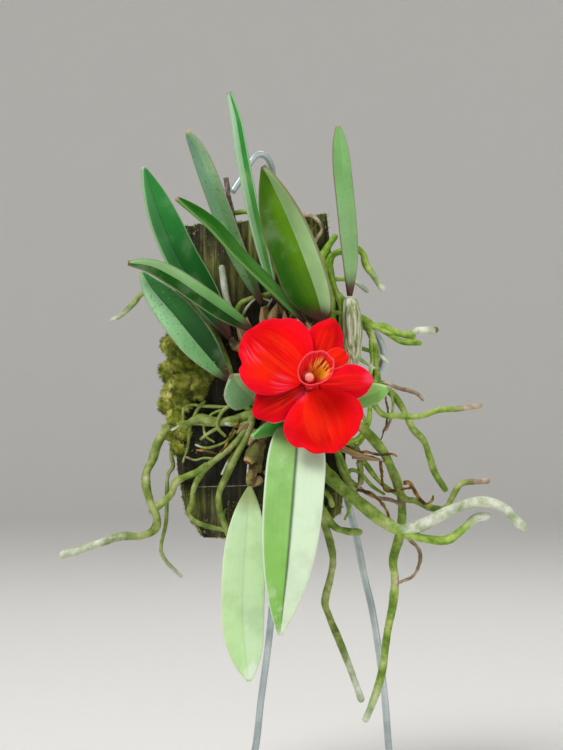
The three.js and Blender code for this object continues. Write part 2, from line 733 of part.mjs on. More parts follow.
// The flower: three sepals behind two broad petals. aim is the way each one points, anticlockwise from
// the right; depth is how far in front of the flower's back it lies.
const FLOWER_MIDDLE = [310, 384];
const SEGMENTS = {
  sepal_dorsal: {
    aim: 208, length: 26.3, halfWidth: 8.2, widest: 0.55, depth: 0, wave: 0.5, colour: 0xd0021a,
  },
  sepal_upper: {
    aim: 71, length: 28, halfWidth: 7.8, widest: 0.55, depth: 0, wave: 0.5, colour: 0xee0a16,
  },
  sepal_right: {
    aim: 3, length: 25.8, halfWidth: 7.4, widest: 0.55, depth: -1.7, wave: 0.5, colour: 0xe8061a,
  },
  petal_upper: {
    aim: 141, length: 33.5, halfWidth: 17, widest: 0.47, depth: 3, wave: 1, colour: 0xf00d14,
  },
  petal_lower: {
    aim: 290, length: 29.4, halfWidth: 16.6, widest: 0.48, depth: 3, wave: 1, colour: 0xf40a12,
  },
};
const SEGMENT_START = 2.6;
const SEGMENT_END_HALF_WIDTH = 0.6;
const SEGMENT_FULLNESS = { base: 2, tip: 2.2, round: 0.72 }; // round below 1 blunts both ends
const SEGMENT_CUP = { forward: 1.6, back: 2.2 }; // how a segment comes forward, then bends back
const SEGMENT_RIPPLE = { along: 7, across: 3 };
const BROAD_SEGMENT = 10; // a segment with a greater half width than this is cut finer across
const SEGMENT_STEPS_ALONG = 8;

function segment(spec) {
  const middle = at(...FLOWER_MIDDLE, FLOWER_DEPTH);
  const aim = degrees(spec.aim);
  const outward = new THREE.Vector3(Math.cos(aim), 0, Math.sin(aim));
  const side = new THREE.Vector3(Math.sin(aim), 0, -Math.cos(aim));
  const front = new THREE.Vector3(0, -1, 0);
  const middleAt = (across, evenly) => {
    const along = closerAtTip(evenly);
    const full = swell(along, spec.widest, SEGMENT_FULLNESS.base, SEGMENT_FULLNESS.tip);
    const share = Math.pow(Math.max(0, full), SEGMENT_FULLNESS.round);
    const width = SEGMENT_END_HALF_WIDTH + (spec.halfWidth - SEGMENT_END_HALF_WIDTH) * share;
    const point = middle.clone();
    point.addScaledVector(outward, SEGMENT_START + (spec.length - SEGMENT_START) * along);
    point.addScaledVector(side, across * width);
    const phase = along * SEGMENT_RIPPLE.along + across * SEGMENT_RIPPLE.across;
    const ripple = spec.wave * along * across * across * Math.sin(phase);
    const cup = spec.depth + SEGMENT_CUP.forward * along - SEGMENT_CUP.back * along * along;
    point.addScaledVector(front, cup + ripple);
    return { point, face: front };
  };
  const steps = spec.halfWidth > BROAD_SEGMENT ? 8 : 6;
  return blade(steps, SEGMENT_STEPS_ALONG, middleAt, () => PETAL_THICKNESS);
}

// The lip: a small cup that leans up over the column, with a tongue at its right side
const LIP_AIM = 30; // the tongue's way, in degrees
const LIP_WALL = 0.8;
const LIP_BACK = 4.2; // how far the cup's bottom lies in front of the flower's back
const LIP_CUP = { mouthRadius: 7.4, baseRadius: 2.4, depth: 10.5, narrow: 0.88 };
const LIP_SEAT = [0, 1.2]; // the cup's bottom, to the right of and above the flower's middle
const LIP_LEAN = [2.5, 5.5]; // how far its mouth lies to the right of and above its bottom
const LIP_CUP_FLARE = 0.7; // below 1 the cup opens fast near its bottom
const LIP_CUP_RINGS = 4;
const LIP_CUP_SIDES = 14;
const LIP_TONGUE = { length: 9.4, halfWidth: 4.6, thickness: 0.9, overlap: 1.8, below: 1.2, droop: 2.6 };
const LIP_TONGUE_SAG = 0.05; // how its sides bend down, for each squared millimetre from its middle

function lip() {
  const { mouthRadius, baseRadius, depth, narrow } = LIP_CUP;
  const outer = [];
  const inner = [];
  for (let i = 0; i <= LIP_CUP_RINGS; i += 1) {
    const rise = i / LIP_CUP_RINGS;
    const radius = THREE.MathUtils.lerp(baseRadius, mouthRadius, Math.pow(rise, LIP_CUP_FLARE));
    outer.push(new THREE.Vector2(radius, depth * rise));
    inner.unshift(new THREE.Vector2(radius - LIP_WALL, Math.max(depth * rise, LIP_WALL)));
  }
  const profile = [new THREE.Vector2(0, 0), ...outer, ...inner, new THREE.Vector2(0, LIP_WALL)];
  const cup = new THREE.LatheGeometry(profile, LIP_CUP_SIDES);
  cup.scale(1, 1, narrow);
  const { length, halfWidth, thickness } = LIP_TONGUE;
  const tongue = new THREE.BoxGeometry(length, thickness, 2 * halfWidth, 6, 1, 4);
  const place = tongue.attributes.position;
  for (let i = 0; i < place.count; i += 1) {
    const along = place.getX(i) / length + 0.5;
    const width = place.getZ(i) * (0.72 + 0.5 * along - 0.75 * along * along * along);
    const sunk = LIP_TONGUE.below + LIP_TONGUE.droop * along * along + LIP_TONGUE_SAG * width * width;
    const out = mouthRadius - LIP_TONGUE.overlap + along * length;
    place.setXYZ(i, out, depth - sunk + place.getY(i), width);
  }
  const geometry = geometryOf(join([cup, tongue]));
  geometry.rotateX(Math.PI);
  geometry.rotateY(-degrees(LIP_AIM));
  const leaning = geometry.attributes.position;
  for (let i = 0; i < leaning.count; i += 1) {
    const share = -leaning.getY(i) / depth;
    leaning.setX(i, leaning.getX(i) + LIP_SEAT[0] + LIP_LEAN[0] * share);
    leaning.setZ(i, leaning.getZ(i) + LIP_SEAT[1] + LIP_LEAN[1] * share);
  }
  const seat = at(...FLOWER_MIDDLE, FLOWER_DEPTH);
  geometry.translate(seat.x, seat.y - LIP_BACK, seat.z);
  return geometry;
}

// The column in the lip's throat, which leans with the cup
const COLUMN = { radius: 1.1, swelling: 0.8, turn: 2.2 };
const COLUMN_ROUTE = [[0, 1.2, 0], [-0.2, 2, 3.25], [-0.4, 2.9, 6.5]]; // to the right, up and forward

function column() {
  const middle = at(...FLOWER_MIDDLE, FLOWER_DEPTH);
  const bottom = middle.y - LIP_BACK - LIP_WALL - GAP;
  const points = COLUMN_ROUTE.map(([right, up, forward]) => (
    new THREE.Vector3(middle.x + right, bottom - forward, middle.z + up)));
  return rod(points, 8, 4, (along) => COLUMN.radius + COLUMN.swelling * Math.sin(COLUMN.turn * along));
}

// The flower's stalk, which swells to the ovary behind the sepals
const STALK_ROUTE = [[303, 396, -13], [312, 390, -22], [313, 386, -32]];
const STALK = { radius: 1.3, swelling: 0.9 };

function flowerStalk(grow) {
  const back = at(...FLOWER_MIDDLE, FLOWER_DEPTH + 2.5 * GAP + PETAL_THICKNESS / 2);
  const points = [...route(STALK_ROUTE), back];
  return rod(points, 7, 8, (along) => grow + STALK.radius + STALK.swelling * along * along);
}

// The short neck in the middle of the flower, which the sepals and petals spring from
const NECK = { radius: 2.2, back: 0.1, front: -3.9 };

function neck() {
  const back = at(...FLOWER_MIDDLE, FLOWER_DEPTH + NECK.back);
  const front = at(...FLOWER_MIDDLE, FLOWER_DEPTH + NECK.front);
  return rod([back, back.clone().lerp(front, 0.5), front], 10, 2, () => NECK.radius);
}

// The wire: a hook above the slab, its shank behind it, and two legs on a flat looped foot
const WIRE_RADIUS = WIRE_DIAMETER / 2;
const WIRE_DEPTH = BLOCK_MIDDLE_DEPTH + BLOCK_THICKNESS / 2 + GAP + WIRE_RADIUS;
const HOOK_ROUTE = [[232, 192, 0], [241, 178, 2], [249, 164, 4], [257, 155, 6], [265, 156, 8],
  [271, 166, 11], [273, 185, WIRE_DEPTH], [273, 215, WIRE_DEPTH], [273, 270, WIRE_DEPTH],
  [273, 340, WIRE_DEPTH]];
const LEFT_LEG = [[273, 420, WIRE_DEPTH], [273, 480, WIRE_DEPTH], [274, 560, WIRE_DEPTH],
  [272, 609, WIRE_DEPTH], [267, 655, WIRE_DEPTH], [261, 700, WIRE_DEPTH], [255, 750, WIRE_DEPTH]];
const RIGHT_LEG = [[389, 750, WIRE_DEPTH], [385, 700, WIRE_DEPTH], [379, 652, WIRE_DEPTH],
  [372, 609, WIRE_DEPTH], [364, 575, WIRE_DEPTH], [356, 535, WIRE_DEPTH], [346, 495, WIRE_DEPTH],
  [338, 455, WIRE_DEPTH], [340, 418, WIRE_DEPTH], [352, 394, 13], [370, 378, 9], [382, 364, 5],
  [383, 350, 2], [377, 336, 0], [367, 328, 0], [357, 323, 0], [348, 321, 0]];
const LEG_BEND = 9; // radius of the bend where a leg turns onto the floor
const BACK_BEND = 11; // radius of the turns at the back of the foot
const FRONT_BEND = 22; // radius of the foot's front corners
const FOOT_FLAT = 0.25; // how much of the wire is worn flat where it rests
const BEND_STEPS = 3;
const LEFT_LEG_FOOT = [249, 792, WIRE_DEPTH]; // where each leg meets the foot, below the photograph
const RIGHT_LEG_FOOT = [392, 792, WIRE_DEPTH];
const WIRE_SIDES = 8;
const STAND_RINGS = 78;
const HOOK_RINGS = 26;

// Half of the foot on the floor, from a leg round to the middle of the front. outward is -1 for the
// left half and 1 for the right one.
function halfFoot(legX, sideX, outward) {
  const floor = WIRE_RADIUS - FOOT_FLAT;
  const back = FOOT_BACK - WIRE_RADIUS - BACK_BEND;
  const front = FOOT_FRONT + WIRE_RADIUS + FRONT_BEND;
  const side = sideX - outward * WIRE_RADIUS;
  const points = [];
  for (let i = 0; i <= BEND_STEPS; i += 1) {
    const angle = (Math.PI / 2) * (i / BEND_STEPS);
    const drop = LEG_BEND * (1 - Math.sin(angle));
    const run = LEG_BEND * (1 - Math.cos(angle));
    points.push(new THREE.Vector3(legX, WIRE_DEPTH + run, floor + drop));
  }
  for (let i = 0; i <= BEND_STEPS; i += 1) {
    const angle = Math.PI * (i / BEND_STEPS);
    const x = side - outward * BACK_BEND * (1 + Math.cos(angle));
    points.push(new THREE.Vector3(x, back + BACK_BEND * Math.sin(angle), floor));
  }
  points.push(new THREE.Vector3(side, 0, floor));
  for (let i = 0; i <= BEND_STEPS; i += 1) {
    const angle = (Math.PI / 2) * (i / BEND_STEPS);
    const x = side - outward * FRONT_BEND * (1 - Math.cos(angle));
    points.push(new THREE.Vector3(x, front - FRONT_BEND * Math.sin(angle), floor));
  }
  return points;
}

function footRoute() {
  const left = halfFoot(at(...LEFT_LEG_FOOT).x, FOOT_LEFT, -1);
  const right = halfFoot(at(...RIGHT_LEG_FOOT).x, FOOT_RIGHT, 1);
  const middle = new THREE.Vector3((FOOT_LEFT + FOOT_RIGHT) / 2, FOOT_FRONT + WIRE_RADIUS, left.at(-1).z);
  return [...left, middle, ...right.reverse()];
}

function wire(points, rings) {
  return rod(points, WIRE_SIDES, rings, () => WIRE_RADIUS);
}

// The part of space under the floor, which wears the foot flat
function underFloor() {
  const size = 4 * FOOT_BACK;
  const depth = 10;
  const below = new THREE.BoxGeometry(size, size, depth);
  below.translate(0, 0, -depth / 2);
  return below;
}

function standWire() {
  const points = [...route(LEFT_LEG), ...footRoute(), ...route(RIGHT_LEG)];
  return geometryOf(clearOf(solidOf(wire(points, STAND_RINGS)), [underFloor()]));
}

// A dead stem that stands against the slab's top edge
const DEAD_STEM = [[226, 178, -9], [229, 198, -10], [233, 214, -11], [238, 240, -11], [241, 262, -11]];
const DEAD_STEM_RADIUS = 0.9;

// Assembly
const FINISH = {
  wood: { color: 0x2b2a1c, roughness: 0.95 },
  rhizome: { color: 0x6b5a3a, roughness: 0.8 },
  ridgedStem: { color: 0x9aa88a, roughness: 0.8 },
  sheath: { color: 0xa8895a, roughness: 0.9 },
  root: { color: 0x8ea347, roughness: 0.7 },
  moss: { color: 0x5d6a1e, roughness: 0.95 },
  deadStem: { color: 0x6f6258, roughness: 0.9 },
  stalk: { color: 0x8a4a30, roughness: 0.6 },
  neck: { color: 0xd83a28, roughness: 0.6 },
  lip: { color: 0xe83a1c, roughness: 0.5 },
  column: { color: 0xf0b8a0, roughness: 0.5 },
  wire: { color: 0xb0b9c0, roughness: 0.35, metalness: 1 },
};
const LEAF_ROUGHNESS = 0.4;
const PETAL_ROUGHNESS = 0.55;
const orchid = new THREE.Group();

function add(name, geometry, finish) {
  const material = new THREE.MeshStandardMaterial(finish);
  const mesh = new THREE.Mesh(geometry, material);
  mesh.name = name;
  orchid.add(mesh);
}

// The room that a piece takes up is the piece itself, grown by the clearance
const blockRoom = block(GAP);
const leafRooms = Object.values(LEAVES).map((spec) => leaf(spec, GAP));
const stemRoom = ridgedStem(GAP);
const rhizomeRoom = geometryOf(rhizome(GAP));

add('wood_block', block(0), FINISH.wood);
const rhizomeNeighbours = [blockRoom, stemRoom, flowerStalk(GAP), ...leafRooms];
add('rhizome', geometryOf(clearOf(rhizome(0), rhizomeNeighbours)), FINISH.rhizome);
const rightLeafRoom = leaf(LEAVES.leaf_right, GAP);
add('ridged_stem', geometryOf(clearOf(solidOf(ridgedStem(0)), [rightLeafRoom])), FINISH.ridgedStem);
const longLeafRoom = leaf(LEAVES.leaf_long_left, GAP); // lies just under the edge of the middle leaf
Object.entries(LEAVES).forEach(([name, spec]) => {
  const whole = leaf(spec, 0);
  const shape = name === 'leaf_middle' ? geometryOf(clearOf(solidOf(whole), [longLeafRoom])) : whole;
  add(name, shape, { color: spec.colour, roughness: LEAF_ROUGHNESS });
});

Object.entries(DRY_SHEATHS).forEach(([name, points]) => {
  const sheath = clearOf(solidOf(drySheath(points, 0)), [rhizomeRoom, blockRoom, ...leafRooms]);
  add(name, geometryOf(sheath), FINISH.sheath);
});

const sheathRooms = Object.values(DRY_SHEATHS).map((points) => drySheath(points, GAP));
const legRoom = rod(route(RIGHT_LEG), WIRE_SIDES, STAND_RINGS, () => WIRE_RADIUS + GAP);
const rootRooms = [];
Object.entries(ROOTS).forEach(([name, specs]) => {
  const neighbours = [blockRoom, rhizomeRoom, stemRoom, legRoom, ...sheathRooms, ...rootRooms, ...leafRooms];
  const bunch = clearOf(join(specs.map((spec) => root(spec, 0))), neighbours);
  add(name, geometryOf(bunch), FINISH.root);
  specs.forEach((spec) => rootRooms.push(root(spec, GAP)));
});

const grownRooms = [blockRoom, ...rootRooms, ...leafRooms];
add('moss', geometryOf(clearOf(moss(), grownRooms)), FINISH.moss);
const deadStem = solidOf(rod(route(DEAD_STEM), 6, 8, () => DEAD_STEM_RADIUS));
add('dead_stem', geometryOf(clearOf(deadStem, grownRooms)), FINISH.deadStem);

add('flower_stalk', geometryOf(clearOf(solidOf(flowerStalk(0)), leafRooms)), FINISH.stalk);
add('flower_neck', neck(), FINISH.neck);
Object.entries(SEGMENTS).forEach(([name, spec]) => {
  add(name, segment(spec), { color: spec.colour, roughness: PETAL_ROUGHNESS });
});
add('lip', lip(), FINISH.lip);
add('column', column(), FINISH.column);

add('hook_wire', wire(route(HOOK_ROUTE), HOOK_RINGS), FINISH.wire);
add('stand_wire', standWire(), FINISH.wire);

export default orchid;
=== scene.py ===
import math
import random

import bmesh
import bpy
from mathutils import Matrix, Vector, kdtree, noise


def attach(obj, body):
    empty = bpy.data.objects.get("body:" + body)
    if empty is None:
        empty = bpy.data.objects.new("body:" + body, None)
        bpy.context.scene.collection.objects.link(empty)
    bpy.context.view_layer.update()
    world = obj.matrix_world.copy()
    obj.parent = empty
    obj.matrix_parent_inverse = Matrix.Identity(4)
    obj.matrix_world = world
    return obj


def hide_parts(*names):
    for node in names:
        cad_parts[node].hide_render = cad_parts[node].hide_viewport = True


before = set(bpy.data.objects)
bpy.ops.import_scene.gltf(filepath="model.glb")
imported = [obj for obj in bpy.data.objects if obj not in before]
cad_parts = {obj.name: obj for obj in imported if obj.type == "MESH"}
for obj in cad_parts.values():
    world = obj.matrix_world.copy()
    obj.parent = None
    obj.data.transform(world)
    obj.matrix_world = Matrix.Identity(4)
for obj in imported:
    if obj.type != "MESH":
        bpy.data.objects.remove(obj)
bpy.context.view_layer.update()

# The studio: a camera level with the plant and square to the slab, as the photograph was taken, a pale
# floor that curves up into a round wall, and soft light from above, from the left and from the right.

MM = 0.001
VIEW_DISTANCE = 1.1
VIEW_AXIS = Vector((-0.0048, 0, 0.1785))
PIXEL = 0.42 * MM
PICTURE_MIDDLE = (281.5, 375)
PICTURE_HEIGHT = 750
SENSOR_WIDTH = 36
FLOOR_RADIUS = 2.2
WALL_BEND = 0.7
WALL_HEIGHT = 4
BEND_STEPS = 12


def seen(across, down, depth):
    """The point at a pixel of the photograph, at a depth in millimetres behind the origin."""
    scale = PIXEL * (VIEW_DISTANCE + depth * MM) / VIEW_DISTANCE
    x = VIEW_AXIS.x + (across - PICTURE_MIDDLE[0]) * scale
    z = VIEW_AXIS.z - (down - PICTURE_MIDDLE[1]) * scale
    return Vector((x, depth * MM, z))


camera = bpy.data.objects.new("camera", bpy.data.cameras.new("camera"))
camera.data.lens = SENSOR_WIDTH * VIEW_DISTANCE / (PICTURE_HEIGHT * PIXEL)
camera.data.clip_start = 0.05
camera.location = VIEW_AXIS + Vector((0, -VIEW_DISTANCE, 0))
camera.rotation_euler = (math.radians(90), 0, 0)
bpy.context.scene.collection.objects.link(camera)
bpy.context.scene.camera = camera


def colour(code):
    """A colour given as it looks on a screen, turned to light values."""
    parts = [int(code[i:i + 2], 16) / 255 for i in (0, 2, 4)]
    return tuple(p / 12.92 if p < 0.04045 else ((p + 0.055) / 1.055) ** 2.4 for p in parts) + (1,)


def node(tree, kind, inputs=(), **settings):
    """Adds a node, sets its properties, and fills each input with a value or links it to an output."""
    made = tree.nodes.new(kind)
    for name, value in settings.items():
        setattr(made, name, value)
    for name, value in dict(inputs).items():
        if isinstance(value, bpy.types.NodeSocket):
            tree.links.new(value, made.inputs[name])
        else:
            made.inputs[name].default_value = value
    return made


def finish_of(name, **sockets):
    """An empty material with its shader, whose plain sockets are set, and where its pattern is read."""
    material = bpy.data.materials.new(name)
    material.use_nodes = True
    tree = material.node_tree
    shader = tree.nodes["Principled BSDF"]
    for socket, value in sockets.items():
        shader.inputs[socket.replace("_", " ")].default_value = value
    place = tree.nodes.new("ShaderNodeTexCoord").outputs["Object"]
    return material, tree, shader, place


def piece(name, mesh, material):
    """A finished piece of the object, shaded smooth, with its place in its mesh."""
    made = bpy.data.objects.new(name, mesh)
    bpy.context.scene.collection.objects.link(made)
    mesh.materials.clear()
    mesh.materials.append(material)
    mesh.shade_smooth()
    return made


def mesh_of(bm, name):
    """A finished bmesh turned into a mesh."""
    mesh = bpy.data.meshes.new(name)
    bm.to_mesh(mesh)
    bm.free()
    return mesh


backdrop_material, tree, shader, place = finish_of("backdrop", Roughness=0.9)
shader.inputs["Base Color"].default_value = colour("f2f0ec")
bm = bmesh.new()
profile = [Vector((0, 0, 0)), Vector((FLOOR_RADIUS, 0, 0))]
for i in range(1, BEND_STEPS + 1):
    angle = math.radians(90 * i / BEND_STEPS)
    profile.append(Vector((FLOOR_RADIUS + WALL_BEND * math.sin(angle), 0, WALL_BEND * (1 - math.cos(angle)))))
profile.append(Vector((FLOOR_RADIUS + WALL_BEND, 0, WALL_HEIGHT)))
corners = [bm.verts.new(p) for p in profile]
edges = [bm.edges.new(pair) for pair in zip(corners, corners[1:])]
bmesh.ops.spin(bm, geom=corners + edges, cent=(0, 0, 0), axis=(0, 0, 1), angle=2 * math.pi, steps=96,
               use_merge=True)
bmesh.ops.remove_doubles(bm, verts=bm.verts, dist=1e-4)
bmesh.ops.recalc_face_normals(bm, faces=bm.faces)
bmesh.ops.reverse_faces(bm, faces=bm.faces)
backdrop_mesh = mesh_of(bm, "backdrop")
piece("backdrop", backdrop_mesh, backdrop_material)

bpy.context.scene.world = bpy.data.worlds.new("studio")
bpy.context.scene.world.use_nodes = True
sky = bpy.context.scene.world.node_tree.nodes["Background"]
sky.inputs["Color"].default_value = (0.93, 0.96, 1, 1)
sky.inputs["Strength"].default_value = 0.42
bpy.context.scene.view_settings.view_transform = "Standard"


def softbox(name, at, size, power):
    """A square lamp turned towards the plant."""
    lamp = bpy.data.lights.new(name, "AREA")
    lamp.size = size
    lamp.energy = power
    holder = bpy.data.objects.new(name, lamp)
    holder.location = at
    holder.rotation_euler = (VIEW_AXIS - Vector(at)).to_track_quat("-Z", "Y").to_euler()
    bpy.context.scene.collection.objects.link(holder)


softbox("key_light", (-0.55, -0.85, 1.25), 0.6, 14)
softbox("fill_light", (1.1, -0.9, 0.55), 0.9, 4)
softbox("rim_light", (0.2, 0.9, 1.2), 0.6, 4)

# The wire: galvanised steel rod, bent cold. A hook stands over the slab with its shank behind it, and
# one length makes both legs, the clasp round the slab's right edge and the flat looped foot.

WIRE_RADIUS = 1.5
WIRE_DEPTH = 14.8
WIRE_SIDES = 16
HOOK_ROUTE = [(232, 192, 0), (241, 178, 2), (249, 164, 4), (257, 155, 6), (265, 156, 8), (271, 166, 11),
              (273, 185, WIRE_DEPTH), (273, 215, WIRE_DEPTH), (273, 270, WIRE_DEPTH), (273, 340, WIRE_DEPTH)]
LEFT_LEG = [(273, 420), (273, 480), (274, 560), (272, 609), (267, 655), (261, 700), (255, 750)]
RIGHT_LEG = [(389, 750), (385, 700), (379, 652), (372, 609), (364, 575), (356, 535), (346, 495), (338, 455),
             (340, 418)]
CLASP = [(352, 394, 13), (370, 378, 9), (382, 364, 5), (383, 350, 2), (377, 336, 0), (367, 328, 0),
         (357, 323, 0), (348, 321, 0)]
LEG_ENDS = {"left": (249, 792), "right": (392, 792)}
FOOT = {"front": -62, "back": 62, "left": -46, "right": 69, "leg": 9, "turn": 11, "corner": 22}


def bend_through(points, stretches=10):
    """Fine points on one smooth curve through the given ones."""
    ends = [2 * points[0] - points[1], *points, 2 * points[-1] - points[-2]]
    fine = []
    for a, b, c, d in zip(ends, ends[1:], ends[2:], ends[3:]):
        ab, bc, cd = (max((q - p).length, 1e-7) ** 0.5 for p, q in ((a, b), (b, c), (c, d)))
        lead = ((b - a) / ab - (c - a) / (ab + bc) + (c - b) / bc) * bc
        trail = ((c - b) / bc - (d - b) / (bc + cd) + (d - c) / cd) * bc
        for i in range(stretches):
            t = i / stretches
            fine.append((2 * t**3 - 3 * t**2 + 1) * b + (t**3 - 2 * t**2 + t) * lead
                        + (3 * t**2 - 2 * t**3) * c + (t**3 - t**2) * trail)
    fine.append(points[-1].copy())
    return fine


def welded(mesh):
    """Joins the doubled corners of a mesh and turns its faces outwards."""
    bm = bmesh.new()
    bm.from_mesh(mesh)
    bmesh.ops.remove_doubles(bm, verts=bm.verts, dist=1e-6)
    bmesh.ops.recalc_face_normals(bm, faces=bm.faces)
    bm.to_mesh(mesh)
    bm.free()
    return mesh


def rods(name, lines, sides):
    """One mesh of round rods. Each line is its points and their radii, all in metres."""
    curve = bpy.data.curves.new(name, "CURVE")
    curve.dimensions = "3D"
    curve.bevel_depth = 1
    curve.bevel_resolution = max(0, (sides - 4) // 2)
    curve.use_fill_caps = True
    for points, radii in lines:
        spline = curve.splines.new("POLY")
        spline.points.add(len(points) - 1)
        for spot, point, radius in zip(spline.points, points, radii):
            spot.co = (*point, 1)
            spot.radius = radius
    holder = bpy.data.objects.new(name, curve)
    bpy.context.scene.collection.objects.link(holder)
    bpy.context.view_layer.update()
    shape = holder.evaluated_get(bpy.context.evaluated_depsgraph_get())
    mesh = bpy.data.meshes.new_from_object(shape)
    bpy.data.objects.remove(holder)
    bpy.data.curves.remove(curve)
    mesh.name = name
    return welded(mesh)


def half_foot(leg_x, side_x, outward):
    """Half of the foot on the floor, from the bottom of a leg round to the middle of the front."""
    floor = WIRE_RADIUS
    back = FOOT["back"] - WIRE_RADIUS - FOOT["turn"]
    front = FOOT["front"] + WIRE_RADIUS + FOOT["corner"]
    side = side_x - outward * WIRE_RADIUS
    quarters = [math.radians(90) * i / 3 for i in range(4)]
    points = [(leg_x, WIRE_DEPTH + FOOT["leg"] * (1 - math.cos(q)), floor + FOOT["leg"] * (1 - math.sin(q)))
              for q in quarters]
    points += [(side - outward * FOOT["turn"] * (1 + math.cos(2 * q)), back + FOOT["turn"] * math.sin(2 * q),
                floor)
               for q in quarters]
    points.append((side, 0, floor))
    points += [(side - outward * FOOT["corner"] * (1 - math.cos(q)), front - FOOT["corner"] * math.sin(q),
                floor)
               for q in quarters]
    return [Vector(p) * MM for p in points]


left_foot = half_foot(seen(*LEG_ENDS["left"], WIRE_DEPTH).x / MM, FOOT["left"], -1)
right_foot = half_foot(seen(*LEG_ENDS["right"], WIRE_DEPTH).x / MM, FOOT["right"], 1)
foot_middle = Vector(((FOOT["left"] + FOOT["right"]) / 2, FOOT["front"] + WIRE_RADIUS, WIRE_RADIUS)) * MM
stand_points = [seen(x, y, WIRE_DEPTH) for x, y in LEFT_LEG] + left_foot + [foot_middle] + right_foot[::-1]
stand_points += [seen(x, y, WIRE_DEPTH) for x, y in RIGHT_LEG] + [seen(*p) for p in CLASP]


def ramp(tree, factor, stops):
    """A colour ramp with the given (position, colour) stops."""
    made = node(tree, "ShaderNodeValToRGB", {"Fac": factor})
    made.color_ramp.elements.remove(made.color_ramp.elements[0])
    made.color_ramp.elements[0].position = stops[0][0]
    made.color_ramp.elements[0].color = colour(stops[0][1])
    for position, code in stops[1:]:
        made.color_ramp.elements.new(position).color = colour(code)
    return made.outputs["Color"]


def blend(tree, factor, first, second, kind="MIX"):
    """Two colours mixed; each is an output of a node or a colour code."""
    made = node(tree, "ShaderNodeMix", data_type="RGBA", blend_type=kind)
    for slot, value in ((0, factor), (6, first), (7, second)):
        if isinstance(value, bpy.types.NodeSocket):
            tree.links.new(value, made.inputs[slot])
        else:
            made.inputs[slot].default_value = colour(value) if isinstance(value, str) else value
    return made.outputs[2]


def math_of(tree, kind, *values, clamp=False):
    """A math node's output; each value is a number or an output."""
    return node(tree, "ShaderNodeMath", dict(enumerate(values)), operation=kind, use_clamp=clamp).outputs[0]


def slope(tree, value, start, end, low=0.0, high=1.0, kind="LINEAR"):
    """A value's climb from low at start to high at end, straight unless kind says otherwise."""
    limits = {"Value": value, "From Min": start, "From Max": end, "To Min": low, "To Max": high}
    return node(tree, "ShaderNodeMapRange", limits, interpolation_type=kind).outputs["Result"]


def band(tree, value, start, end, low=0.0, high=1.0):
    """The same climb with soft ends."""
    return slope(tree, value, start, end, low, high, "SMOOTHSTEP")


def noise_of(tree, place, scale, detail=3, roughness=0.5):
    """Cloudy noise at a scale."""
    settings = {"Vector": place, "Scale": scale, "Detail": detail, "Roughness": roughness}
    return node(tree, "ShaderNodeTexNoise", settings).outputs["Fac"]


def stretched_noise(tree, place, stretch, scale, detail=3, roughness=0.5):
    """Noise drawn out into streaks."""
    moved = node(tree, "ShaderNodeMapping", {"Vector": place, "Scale": stretch}).outputs["Vector"]
    return noise_of(tree, moved, scale, detail, roughness)


def distance_to(tree, place, point):
    """How far the shaded spot is from a point."""
    return node(tree, "ShaderNodeVectorMath", {0: place, 1: point}, operation="DISTANCE").outputs["Value"]


def bumped(tree, shader, height, strength, distance):
    """Raises the shading by a height."""
    bump = node(tree, "ShaderNodeBump", {"Height": height, "Strength": strength, "Distance": distance})
    tree.links.new(bump.outputs["Normal"], shader.inputs["Normal"])


wire_material, tree, shader, place = finish_of("galvanised_wire", Metallic=0.5)
cloud = noise_of(tree, place, 90, 5)
spangle = node(tree, "ShaderNodeTexVoronoi", {"Vector": place, "Scale": 700}).outputs["Distance"]
zinc = ramp(tree, cloud, ((0.32, "a4b0b2"), (0.5, "bcc8ca"), (0.68, "d2dcde")))
zinc = blend(tree, slope(tree, spangle, 0, 1, 0.16, 0), zinc, "7c898c")
tree.links.new(zinc, shader.inputs["Base Color"])
tree.links.new(slope(tree, cloud, 0, 1, 0.32, 0.5), shader.inputs["Roughness"])
bumped(tree, shader, cloud, 0.15, 0.0004)

for name, points in (("hook_wire", [seen(*p) for p in HOOK_ROUTE]), ("stand_wire", stand_points)):
    line = [Vector((p.x, p.y, max(p.z, WIRE_RADIUS * MM))) for p in bend_through(points, 8)]
    wire = piece(name + "_rod", rods(name, [(line, [WIRE_RADIUS * MM] * len(line))], WIRE_SIDES),
                 wire_material)
    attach(wire, "root")
    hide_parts(name)

# The slab: one upright piece of weathered wood, split along its grain, its face furrowed by rain and
# darkened by damp and by painted shade, with a green film at its top and its foot, and moss in its furrows.

SLAB_ROWS = [(536, 204, 300), (512, 187, 340), (470, 179, 345), (400, 174, 345), (330, 173, 342),
             (270, 179, 333), (222, 184, 326)]
SLAB_THICKNESS = 22
SLAB_MIDDLE_DEPTH = 2
SLAB_CUTS = 79
FOOT_FILM = (0.134, 0.122)
TOP_FILM = (0.2, 0.222)

slab_rows = [(seen(left, down, SLAB_MIDDLE_DEPTH), seen(right, down, SLAB_MIDDLE_DEPTH).x)
             for down, left, right in SLAB_ROWS]


